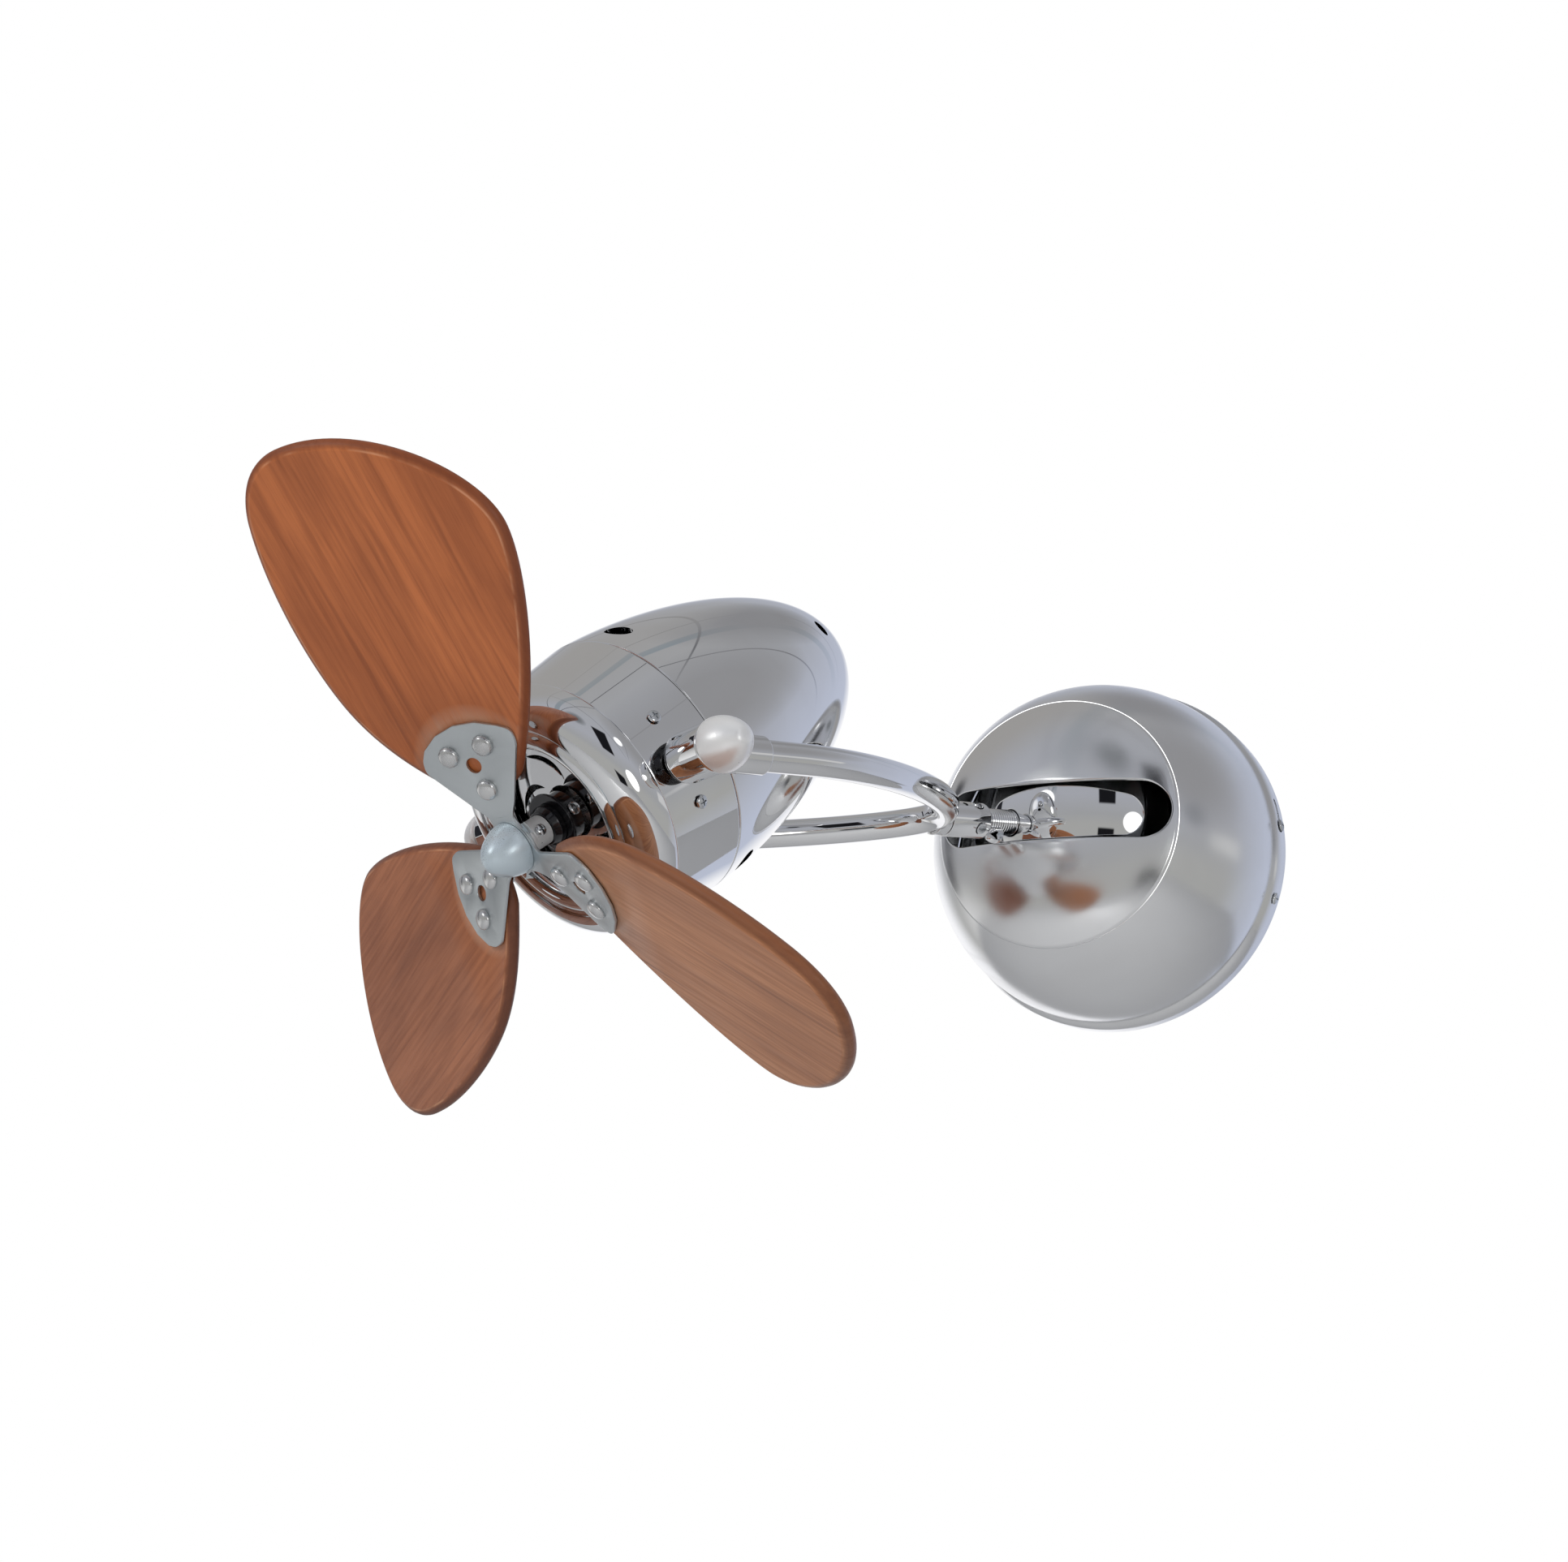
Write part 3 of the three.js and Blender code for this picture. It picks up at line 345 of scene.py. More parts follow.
def swept(path, radius):
    """Round bar along a path of (x, reach) points, which lies in the XY plane."""
    shape = bmesh.new()
    angles = full_turn(48)
    points = [Vector((x, -reach, 0)) for x, reach in path]
    up = Vector((0, 0, 1))
    rings = []
    for i, point in enumerate(points):
        along = (points[min(i + 1, len(points) - 1)] - points[max(i - 1, 0)]).normalized()
        side = along.cross(up)
        ring = [point + radius * (math.cos(a) * side + math.sin(a) * up) for a in angles]
        rings.append([shape.verts.new(v) for v in ring])
    for ring, following in zip(rings, rings[1:]):
        bridge(shape, ring, following)
    shape.faces.new(rings[0])
    shape.faces.new(rings[-1])
    bmesh.ops.recalc_face_normals(shape, faces=shape.faces)
    return shape


def rod(radius, start, end, sides=SMALL_SIDES):
    return turned([(0, start), (radius, start), (radius, end), (0, end)], sides)


def moved(shape, matrix):
    bmesh.ops.transform(shape, matrix=matrix, verts=shape.verts)
    return shape


def to_object(shape, name="tool"):
    mesh = bpy.data.meshes.new(name)
    shape.to_mesh(mesh)
    shape.free()
    made = bpy.data.objects.new(name, mesh)
    bpy.context.scene.collection.objects.link(made)
    return made


def combined(shape, others, operation):
    """shape joined with, or cut by, other solids."""
    base = to_object(shape)
    tools = [to_object(other) for other in others]
    for tool in tools:
        modifier = base.modifiers.new("solid", "BOOLEAN")
        modifier.operation = operation
        modifier.solver = "EXACT"
        modifier.object = tool
    bpy.context.view_layer.update()
    evaluated = base.evaluated_get(bpy.context.evaluated_depsgraph_get())
    result = bmesh.new()
    result.from_mesh(evaluated.to_mesh())
    for extra in [base, *tools]:
        bpy.data.objects.remove(extra)
    return result


def cut(shape, *tools):
    return combined(shape, tools, "DIFFERENCE")


def join(shape, *others):
    return combined(shape, others, "UNION")


def place(node, shape, group, material, sharp=30):
    """Makes the finished piece that stands for a CAD node and rides on the node's own body."""
    piece = to_object(moved(shape, group @ Matrix.Scale(MM, 4)), f"{node}_finished")
    piece.data.shade_smooth()
    piece.data.set_sharp_from_angle(angle=math.radians(sharp))
    piece.data.materials.append(material)
    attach(piece, BODY_OF[node])
    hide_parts(node)
    return piece


def in_group(group, local):
    """A group's frame with a further move given in millimetres."""
    metres = local.copy()
    metres.translation = local.translation * MM
    return group @ metres


# --------------------------------------------------------------------- materials


def feed(tree, made, inputs):
    """Sets inputs of a shader node, each to a value or to another node's output."""
    for key, value in inputs.items():
        if isinstance(value, bpy.types.NodeSocket):
            tree.links.new(value, made.inputs[key])
        else:
            made.inputs[key].default_value = value


def node(tree, kind, inputs=None, **settings):
    """A new shader node with its settings and inputs."""
    made = tree.nodes.new(kind)
    for key, value in settings.items():
        setattr(made, key, value)
    feed(tree, made, inputs or {})
    return made


def new_material(name):
    material = bpy.data.materials.new(name)
    material.use_nodes = True
    tree = material.node_tree
    shader = tree.nodes["Principled BSDF"]
    return material, tree, shader


def coordinates(tree, axes=Matrix.Identity(4)):
    """Places on the piece, in metres, measured in the given axes."""
    place_in = node(tree, "ShaderNodeTexCoord").outputs["Object"]
    inputs = {"Vector": place_in, "Location": axes.translation, "Rotation": axes.to_euler()}
    return node(tree, "ShaderNodeMapping", inputs, vector_type="TEXTURE").outputs[0]


def noise(tree, stretch, scale, detail, seed=(0, 0, 0), distortion=0.0, places=None):
    """Noise stretched along each axis of the piece."""
    places = places or coordinates(tree)
    mapping = node(tree, "ShaderNodeMapping", {"Vector": places, "Scale": stretch, "Location": seed})
    inputs = {"Vector": mapping.outputs[0], "Scale": scale, "Detail": detail, "Distortion": distortion}
    return node(tree, "ShaderNodeTexNoise", inputs).outputs[0]


def remap(tree, value, low, high, to_low, to_high):
    inputs = {"Value": value, "From Min": low, "From Max": high, "To Min": to_low, "To Max": to_high}
    return node(tree, "ShaderNodeMapRange", inputs, clamp=True).outputs[0]


def mix_colour(tree, share, a, b):
    made = node(tree, "ShaderNodeMix", {0: share}, data_type="RGBA")
    for key, value in ((6, a), (7, b)):
        feed(tree, made, {key: value if isinstance(value, bpy.types.NodeSocket) else (*value, 1)})
    return made.outputs[2]


def bump(tree, shader, height, depth, strength=1.0):
    inputs = {"Height": height, "Distance": depth, "Strength": strength}
    feed(tree, shader, {"Normal": node(tree, "ShaderNodeBump", inputs).outputs[0]})


def metal(name, colour, roughness, smudge, tarnish, grain_scale=900, depth=0.000004, grain=(1, 1, 1),
          metallic=1.0):
    """Metal with faint handling marks in its roughness, slight tarnish and a fine surface grain."""
    material, tree, shader = new_material(name)
    marks = noise(tree, (1, 1, 1), 38, 5, distortion=0.6)
    fine = noise(tree, grain, grain_scale, 3)
    darker = tuple(c * tarnish for c in colour)
    shade = mix_colour(tree, remap(tree, marks, 0.45, 0.75, 0, 1), colour, darker)
    rough = node(tree, "ShaderNodeMath", {
        0: remap(tree, marks, 0.35, 0.7, roughness, roughness + smudge),
        1: remap(tree, fine, 0.3, 0.7, -roughness * 0.2, roughness * 0.2),
    }, operation="ADD").outputs[0]
    feed(tree, shader, {"Base Color": shade, "Roughness": rough, "Metallic": metallic})
    bump(tree, shader, fine, depth)
    return material


def chrome_plate(name, roughness, depth):
    """Bright chrome: nearly a mirror, with faint smears and the slight waviness of pressed sheet."""
    material, tree, shader = new_material(name)
    smear = noise(tree, (1, 1, 1), 22, 6, distortion=1.2)
    waves = noise(tree, (1, 1, 1), 9, 1)
    clean, smeared = (0.88, 0.885, 0.895), (0.84, 0.84, 0.845)
    tint = mix_colour(tree, remap(tree, smear, 0.4, 0.8, 0, 1), clean, smeared)
    rough = remap(tree, smear, 0.4, 0.75, roughness, roughness * 1.7)
    feed(tree, shader, {"Base Color": tint, "Roughness": rough, "Metallic": 1})
    bump(tree, shader, waves, depth, 0.25)
    return material


def black_finish():
    """Glossy black plating with grey rub marks."""
    material, tree, shader = new_material("black_oxide")
    marks = noise(tree, (1, 1, 1), 120, 5, distortion=0.8)
    plating, rubbed = (0.012, 0.012, 0.015), (0.07, 0.07, 0.075)
    shade = mix_colour(tree, remap(tree, marks, 0.55, 0.8, 0, 1), plating, rubbed)
    rough = remap(tree, marks, 0.3, 0.8, 0.1, 0.3)
    feed(tree, shader, {"Base Color": shade, "Roughness": rough, "Metallic": 0.6})
    feed(tree, shader, {"Coat Weight": 0.6, "Coat Roughness": 0.08})
    bump(tree, shader, marks, 0.00001)
    return material


def white_plastic():
    """Moulded plastic with a fine speckle."""
    material, tree, shader = new_material("white_plastic")
    speckle = noise(tree, (1, 1, 1), 700, 2)
    colour = (0.8, 0.79, 0.75)
    shade = mix_colour(tree, remap(tree, speckle, 0.4, 0.7, 0, 1), colour, tuple(c * 0.9 for c in colour))
    feed(tree, shader, {"Base Color": shade, "Roughness": 0.5})
    bump(tree, shader, speckle, 0.00002)
    return material


def laminated_steel():
    """Edges of stacked sheets: fine rings across the motor's axis."""
    material, tree, shader = new_material("laminated_steel")
    layers = noise(tree, (0.02, 1, 0.02), 1600, 0)
    shade = mix_colour(tree, layers, (0.1, 0.1, 0.11), (0.35, 0.35, 0.37))
    feed(tree, shader, {"Base Color": shade, "Roughness": 0.5, "Metallic": 0.8})
    bump(tree, shader, layers, 0.00008)
    return material


def copper_wire():
    """Enamelled wire laid round the coil ends."""
    material, tree, shader = new_material("copper_wire")
    strands = noise(tree, (1, 0.15, 1), 1400, 2, distortion=0.4)
    shade = mix_colour(tree, strands, (0.25, 0.09, 0.03), (0.62, 0.28, 0.12))
    feed(tree, shader, {"Base Color": shade, "Roughness": 0.35, "Metallic": 0.9})
    bump(tree, shader, strands, 0.0002)
    return material


def product(tree, a, b):
    return node(tree, "ShaderNodeMath", {0: a, 1: b}, operation="MULTIPLY").outputs[0]


def blade_wood(name, spot, seed, tone):
    """Reddish wood under satin lacquer: grain along X, a darker rounded edge with a painted highlight along its
    crease, a pale halo by the plate.
    """
    material, tree, shader = new_material(name)
    places = coordinates(tree, spot)
    bands = noise(tree, (4, 24, 24), 1, 3, seed, 0.8, places)
    fibres = noise(tree, (26, 560, 560), 1, 6, seed, 0.1, places)
    pores = noise(tree, (70, 3000, 3000), 1, 2, seed, 0, places)
    veins = noise(tree, (5, 170, 170), 1, 3, tuple(s + 7 for s in seed), 0.3, places)
    mottle = noise(tree, (14, 60, 60), 1, 4, tuple(s + 3 for s in seed), 0.5, places)

    light, mid, dark = ((0.54, 0.162, 0.050), (0.43, 0.120, 0.034), (0.19, 0.046, 0.015))
    light, mid, dark = (tuple(c * t for c, t in zip(shade, tone)) for shade in (light, mid, dark))
    wood = mix_colour(tree, remap(tree, bands, 0.3, 0.7, 0, 1), mid, light)
    wood = mix_colour(tree, remap(tree, mottle, 0.42, 0.72, 0, 0.42), wood, dark)
    wood = mix_colour(tree, remap(tree, fibres, 0.4, 0.72, 0, 0.45), wood, dark)
    wood = mix_colour(tree, remap(tree, pores, 0.6, 0.72, 0, 0.32), wood, dark)
    wood = mix_colour(tree, remap(tree, veins, 0.6, 0.68, 0, 0.42), wood, dark)
    wood = mix_colour(tree, plate_halo(tree, fibres, places), wood, (0.62, 0.36, 0.24))

    edge = node(tree, "ShaderNodeAttribute", attribute_name="edge").outputs["Fac"]
    wood = mix_colour(tree, remap(tree, edge, 0.05, 0.5, 0, 0.8), wood, tuple(c * 0.75 for c in dark))
    # Painted highlight: a paler line along the crease where each face meets the rounded edge, broken into patches
    # like wear.
    ridge_highlight = product(tree, remap(tree, edge, 0.02, 0.12, 0, 1), remap(tree, edge, 0.18, 0.3, 1, 0))
    highlight_patches = remap(tree, noise(tree, (60, 60, 60), 1, 3, seed, 0, places), 0.45, 0.65, 0, 0.55)
    wood = mix_colour(tree, product(tree, ridge_highlight, highlight_patches), wood, (0.66, 0.33, 0.18))

    feed(tree, shader, {"Base Color": wood, "Roughness": remap(tree, fibres, 0.3, 0.7, 0.36, 0.5)})
    feed(tree, shader, {"Coat Weight": 0.15, "Coat Roughness": 0.3, "Specular IOR Level": 0.35})
    bump(tree, shader, fibres, 0.00003, 0.6)
    return material


def plate_halo(tree, fibres, places):
    """Share of the pale worn band in the wood just beyond the plate's outer arc."""
    middle, inner, outer = (31 * MM, 0, PAD_OFFSET * MM), 23.0 * MM, 28.5 * MM
    flat = node(tree, "ShaderNodeVectorMath", {0: places, 1: (1, 0, 1)}, operation="MULTIPLY")
    away = node(tree, "ShaderNodeVectorMath", {0: flat.outputs[0], 1: middle}, operation="SUBTRACT")
    distance = node(tree, "ShaderNodeVectorMath", {0: away.outputs[0]}, operation="LENGTH")
    fade = remap(tree, distance.outputs["Value"], inner, outer, 0.55, 0)
    outwards = node(tree, "ShaderNodeSeparateXYZ", {0: away.outputs[0]}).outputs["X"]
    ahead = remap(tree, outwards, 5 * MM, 14 * MM, 0, 1)
    streaks = remap(tree, fibres, 0.3, 0.65, 0.45, 1)
    return product(tree, product(tree, fade, ahead), streaks)


CHROME = chrome_plate("polished_chrome", 0.022, 0.0002)
SOFT_CHROME = chrome_plate("polished_chrome_soft", 0.16, 0.0001)
NICKEL = metal("satin_nickel", (0.88, 0.88, 0.88), 0.33, 0.02, 0.98, metallic=0.55)
ALUMINIUM = metal("satin_aluminium", (0.60, 0.635, 0.65), 0.36, 0.08, 0.92, 2200, 0.000008)
SPINNER_METAL = metal("spinner_aluminium", (0.56, 0.64, 0.69), 0.3, 0.08, 0.94, 2200, 0.000006,
                      metallic=0.55)
ZINC = metal("zinc_steel", (0.74, 0.76, 0.78), 0.16, 0.12, 0.6, 500, 0.00001)
STEEL = metal("bright_steel", (0.72, 0.72, 0.72), 0.2, 0.1, 0.8, 1500, 0.00001, grain=(1, 0.05, 1))
BLACK = black_finish()
PLASTIC = white_plastic()
LAMINATIONS = laminated_steel()
COPPER = copper_wire()


# ----------------------------------------------------------------- wall pieces


def canopy_curve(inset_by):
    """Half section of the canopy from the rim to the axis: band, step, dome, crease and shallow cap."""
    band, dome = CANOPY_R - SKIN - inset_by, CANOPY_R - 2 - inset_by
    face, reach = CANOPY_FACE_R - inset_by, CANOPY_FACE_REACH - inset_by / 2
    top = CANOPY_DEPTH - inset_by
    rise = math.degrees(math.acos(face / dome))
    depth = (reach - CANOPY_BAND) / math.sin(math.radians(rise))
    rim = [(band, GAP), (band, 5), (band, CANOPY_BAND - 3)]
    step = [(dome + 0.9, CANOPY_BAND - 1.2), (dome, CANOPY_BAND)]
    shoulder = arc((0, CANOPY_BAND), dome, depth, 0, rise - 0.3, 40)[1:] + [(face, reach - 0.35)]
    cap = bezier((face - 0.8, reach + 0.8), (face * 0.7, top - 1.6), (face * 0.35, top), (0, top), 24)
    return rim + step + shoulder + cap


def canopy_reach(radius, curve):
    """Reach of the canopy's section at a radius."""
    for (outer, low), (inner, high) in zip(curve, curve[1:]):
        if inner <= radius <= outer and outer > inner:
            return low + (high - low) * (outer - radius) / (outer - inner)
    return curve[-1][1]


def stadium_radius(angle, half_length, half_height):
    """Distance from the middle of a round-ended slot to its edge, in one direction."""
    x, z = abs(math.cos(angle)), abs(math.sin(angle))
    straight = half_length - half_height
    if z > 1e-9 and x * half_height / z <= straight:
        return half_height / z
    return straight * x + math.sqrt(half_height**2 - (straight * z) ** 2)


def canopy_shell():
    """Pressed shell whose faces fan out from the slot's edge, so that the mirror finish stays smooth."""
    angles, rows, lip = full_turn(288), 18, 0.7
    outside, inside = canopy_curve(0), canopy_curve(CANOPY_WALL)
    limit = CANOPY_FACE_R - 1
    shape = bmesh.new()

    def ring(curve, grow, share, drop=0.0):
        """Points between the slot's edge, widened by grow, and the crease, which is share 1."""
        made = []
        for angle in angles:
            slot = stadium_radius(angle, SLOT_HALF_LENGTH + grow, SLOT_HALF_HEIGHT + grow)
            radius = slot * (1 - share) + limit * share
            x, z = radius * math.cos(angle), radius * math.sin(angle) + SLOT_RISE * (1 - share)
            made.append(shape.verts.new((x, drop - canopy_reach(math.hypot(x, z), curve), z)))
        return made

    def beyond_crease(curve):
        """Round rings through the curve's points outside the crease."""
        return [ring_about_y(shape, *point, angles) for point in curve if point[0] > limit + 0.1]

    shares = [(i / rows) ** 1.15 for i in range(rows + 1)]
    front = [ring(outside, lip, share) for share in shares]
    back = [ring(inside, 0, share) for share in shares]
    rounding = []
    for degrees in (0, 30, 60):
        a = math.radians(degrees)
        rounding.append(ring(outside, lip * (1 - math.cos(a)), 0, lip * (1 - math.sin(a))))
    loops = [*rounding, *front, *beyond_crease(outside[::-1]), *beyond_crease(inside), *reversed(back)]
    for first, second in zip(loops, loops[1:] + loops[:1]):
        bridge(shape, first, second)
    bmesh.ops.recalc_face_normals(shape, faces=shape.faces)
    bayonet, plain = (radial(CANOPY_R, angle, CANOPY_BAND / 2) for angle in RIM_SCREW_ANGLES)
    return cut(shape, moved(keyhole(), bayonet), moved(rod(1.9, -8, 8, 24), plain))


def keyhole():
    """Cutter for a screw hole with a long slot beside it, for a bayonet fixing."""
    width, length = 1.5, 12
    outline = arc((0, 0), 3.1, 3.1, 30, 330, 24)
    outline += arc((length, 0), width, width, -90, 90, 12)
    slot = sheet([(x, -z) for x, z in reversed(outline)], [], ((0, -8), (0, 8)))
    return moved(slot, turn("Y", -90))


def wall_plate():
    outer = CANOPY_R - CANOPY_WALL - 1
    rim_end, inner = CANOPY_BAND - 3, outer - 2
    profile = [(0, 0), (outer, 0), (outer, rim_end), (inner, rim_end), (inner, PLATE_WALL), (0, PLATE_WALL)]
    plate = turned(softened(profile, 0.5, closed=False))
    screw_holes = [moved(rod(1.9, -8, 8, 24), radial(outer, a, CANOPY_BAND / 2)) for a in RIM_SCREW_ANGLES]
    wall_holes = [moved(rod(2.8, -5, 10, 32), shift(side * WALL_HOLE_X, 0, 0)) for side in (-1, 1)]
    cable_hole = moved(rod(7, -5, 10, 48), shift(0, 0, -55))
    return cut(plate, *screw_holes, *wall_holes, cable_hole)


def cross_cutter(length, width, depth):
    """Cutter for a cross recess: four tapering arms."""
    half, narrow = length / 2, width / 2
    outline = []
    for quarter in range(4):
        a = quarter * math.pi / 2
        for x, z in ((half, -narrow * 0.8), (half, narrow * 0.8), (narrow, narrow)):
            outline.append((x * math.cos(a) - z * math.sin(a), x * math.sin(a) + z * math.cos(a)))
    return sheet(outline, [], ((-width * 0.1, -depth), (width * 0.35, depth)))


def screw(head_r, head_height, shank_r, shank_length):
    """Round-head screw with a cross recess, its underside at reach 0."""
    crown = (head_r * 0.62, head_height), (head_r, head_height * 0.7)
    head = bezier((0, head_height), *crown, (head_r, 0.25), 12)
    profile = [*head, (head_r - 0.2, 0), (shank_r, 0), (shank_r, -shank_length), (0, -shank_length)]
    recess = cross_cutter(head_r * 1.25, head_r * 0.34, head_height * 0.62)
    return cut(turned(profile, 48), moved(recess, shift(0, -head_height, 0)))


def wall_pieces():
    place("canopy_shell", canopy_shell(), WALL, SOFT_CHROME, 35)
    place("wall_plate", wall_plate(), WALL, ZINC)
    for i, angle in enumerate(RIM_SCREW_ANGLES, 1):
        spot = in_group(WALL, radial(CANOPY_R + GAP, angle, CANOPY_BAND / 2))
        place(f"canopy_screw_{i}", screw(*RIM_SCREW), spot, ZINC)
    for name, side in (("left", -1), ("right", 1)):
        spot = in_group(WALL, shift(side * WALL_HOLE_X, -PLATE_WALL - GAP, 0))
        place(f"wall_screw_{name}", screw(*WALL_SCREW), spot, ZINC)


# ------------------------------------------------------------------ arm pieces


def swivel_shield():
    """Round shield on the stem that closes the slot from behind."""
    mouth, inner, edge = STEM_R + GAP, SHIELD_R - SHIELD_WALL, 90 - SHIELD_SPREAD
    start, inner_start = (math.degrees(math.acos(mouth / radius)) for radius in (SHIELD_R, inner))
    profile = arc((0, 0), SHIELD_R, SHIELD_R, edge, start, 60)
    profile += arc((0, 0), inner, inner, inner_start, edge, 40)
    return turned(softened(profile, 0.5))


def arm_stem():
    """Hollow stem with a round eye for the pivot bolt and a flange behind the shield."""
    flange, end = SHIELD_R - SHIELD_WALL - 4, SLEEVE_END - 1
    profile = arc((0, 0), EYE_R, EYE_R, -90, math.degrees(math.acos(STEM_R / EYE_R)))
    profile += [(STEM_R, flange), (FLANGE_R, flange), (FLANGE_R, flange + 2.5), (STEM_R, flange + 2.5)]
    profile += thread(STEM_R, SHIELD_R + 1, NUT_START + NUT_LENGTH)
    profile += [(STEM_R, end), (STEM_BORE, end), (STEM_BORE, EYE_R * 2), (0, EYE_R * 2)]
    droop = math.degrees(math.asin(-STEM_AXIS.z))
    bolt_hole = moved(rod(BOLT_R + GAP, -EYE_R * 2, EYE_R * 2), turn("X", -90 - droop))
    return cut(turned(softened(profile, 0.3, closed=False), SMALL_SIDES), bolt_hole)


def thread(radius, start, end, pitch=1.4, depth=0.35):
    """Grooves that read as a thread, as points of a turned outline."""
    points = []
    for i in range(int((end - start) / pitch)):
        foot = start + i * pitch
        groove = foot + pitch * 0.5
        points += [(radius, foot + pitch * 0.1), (radius - depth, groove), (radius, foot + pitch * 0.9)]
    return points


def wing_nut():
    """Barrel with two splayed wings that thicken towards their rounded rims."""
    bore, foot, tip, end = STEM_R + GAP, NUT_R - 1.3, 16, NUT_START + NUT_LENGTH
    barrel = turned(softened([
        (bore, NUT_START), (NUT_R, NUT_START), (NUT_R, NUT_START + 3.5), (NUT_R - 0.7, end), (bore, end),
    ], 0.7), SMALL_SIDES)
    wing = bezier((foot, 5), (11, 6), (tip, 10), (tip, 15.5), 14)
    wing += bezier((tip, 15.5), (tip, 20), (10.5, 20), (9.8, 15), 12)[1:] + [(foot, 11)]
    outline = [(x, -NUT_START - reach) for x, reach in reversed(softened(wing, 0.8))]
    rim = ((0.9, 0), (0.25, 0.25), (0, 0.9), (0, 1.7), (0.25, 2.35), (0.9, 2.6))
    upright = shift(0, 0, -rim[-1][1] / 2) @ turn("X", 90) @ Matrix.Scale(-1, 4, (0, 0, 1))
    wings = [moved(sheet(outline, [], rim), turn("Y", -angle) @ upright) for angle in (135, -45)]
    for each in wings:
        bmesh.ops.recalc_face_normals(each, faces=each.faces)
    return join(barrel, *wings)


def arm_pieces():
    place("swivel_shield", swivel_shield(), ARM, CHROME)
    place("arm_stem", arm_stem(), ARM, CHROME)
    place("wing_nut", wing_nut(), ARM, CHROME)


# ----------------------------------------------------------------- yoke pieces


def yoke_path(end):
    """Centre line of the yoke as (x, reach) points: straight legs and an egg-shaped bend."""
    start, bend_end, width = YOKE_REACH, YOKE_REACH + YOKE_BEND, YOKE_HALF_WIDTH
    handles = (width * 0.37, start), (width, start + YOKE_BEND * 0.55)
    bend = bezier((0, start), *handles, (width, bend_end), 48)
    leg = [(width, bend_end + (end - start - YOKE_BEND) * i / 6) for i in range(1, 7)]
    right = bend + leg
    left = [(-x, reach) for x, reach in reversed(right[1:])]
    return left + right


def yoke_tube():
    return swept(yoke_path(TILT_REACH - BOSS_R - 1), YOKE_TUBE_R)


def yoke_collar():
    """Short neck between the sleeve and the bend, shaped to the tube."""
    blank = turned(softened([
        (STEM_R + GAP, SLEEVE_END + GAP), (SLEEVE_R - 0.3, SLEEVE_END + GAP), (SLEEVE_R - 0.3, YOKE_REACH),
        (STEM_R + GAP, YOKE_REACH),
    ], 0.5), SMALL_SIDES)
    return cut(blank, swept(yoke_path(TILT_REACH - BOSS_R), YOKE_TUBE_R + 0.1))


def swivel_sleeve():
    sleeve = turned(softened([
        (STEM_R + GAP, SLEEVE_START), (SLEEVE_R - 1, SLEEVE_START), (SLEEVE_R, SLEEVE_START + 1),
        (SLEEVE_R, SLEEVE_END), (STEM_R + GAP, SLEEVE_END),
    ], 0.35), 96)
    spots = ((3, 45, CLAMP_HOLE_REACH), (3, -40, CLAMP_HOLE_REACH), (1.3, 45, STOP_HOLE_REACH))
    holes = [moved(rod(r, -6, 6, 40), radial(SLEEVE_R + 3, angle, reach)) for r, angle, reach in spots]
    return cut(sleeve, *holes)


def sleeve_set_screw():
    """Grub screw with a driver slot."""
    body = turned(softened([(0, 1.2), (2.6, 1.2), (2.6, -1.2), (0, -1.2)], 0.3, closed=False), 40)
    slot = sheet([(-2, -0.35), (2, -0.35), (2, 0.35), (-2, 0.35)], [], ((0, -2), (0, -0.5)))
    return cut(body, slot)


def pivot_boss(side):
    """Round pivot boss with a socket for the end of the yoke tube."""
    barrel = turned(softened([
        (STUD_R + GAP, BOSS_START), (BOSS_R, BOSS_START), (BOSS_R, BOSS_END), (STUD_R + GAP, BOSS_END),
    ], 1.0), 96)
    start, end = TILT_REACH - SOCKET_LENGTH, TILT_REACH - 2
    profile = [(0, start), (SOCKET_R, start), (SOCKET_R, end), (0, end)]
    socket = turned(softened(profile, 0.5, closed=False), 96)
    bore = rod(YOKE_TUBE_R + GAP, start - 5, TILT_REACH - BOSS_R - 0.5)
    stud_bore = moved(rod(STUD_R + GAP, -120, 120), shift(0, -TILT_REACH, 0) @ turn("Z", 90))
    across = shift(0, -TILT_REACH, 0) @ turn("Z", 90 * side)
    x = side * YOKE_HALF_WIDTH
    whole = join(moved(barrel, across), moved(socket, shift(x, 0, 0)))
    return cut(whole, moved(bore, shift(x, 0, 0)), stud_bore)


def acorn_knob():
    end, shoulder = KNOB_LENGTH, (3.6, KNOB_LENGTH - 0.9)
    crown = bezier((KNOB_R, 0.8), (KNOB_R + 0.3, 5.5), (KNOB_R * 0.78, end * 0.72), shoulder, 30)
    tip = bezier(shoulder, (2.6, end - 0.2), (1.2, end), (0, end), 8)[1:]
    profile = [(0, 9), (STUD_R + GAP, 9), (STUD_R + GAP, 0), (KNOB_R - 0.8, 0), *crown, *tip]
    return turned(softened(profile, 0.4, closed=False), 128)


def yoke_pieces():
    place("yoke_tube", yoke_tube(), YOKE, CHROME, 50)
    place("yoke_collar", yoke_collar(), YOKE, CHROME)
    place("swivel_sleeve", swivel_sleeve(), YOKE, CHROME)
    spot = in_group(YOKE, radial(7.5, -40, CLAMP_HOLE_REACH))
    place("sleeve_set_screw", sleeve_set_screw(), spot, ZINC)
    for name, side in (("right", 1), ("left", -1)):
        place(f"pivot_boss_{name}", pivot_boss(side), YOKE, CHROME)
        along = shift(side * (BOSS_END + GAP), -TILT_REACH, 0) @ turn("Z", 90 * side)
        place(f"tilt_knob_{name}", acorn_knob(), in_group(YOKE, along), NICKEL)


# ----------------------------------------------------------------- head pieces


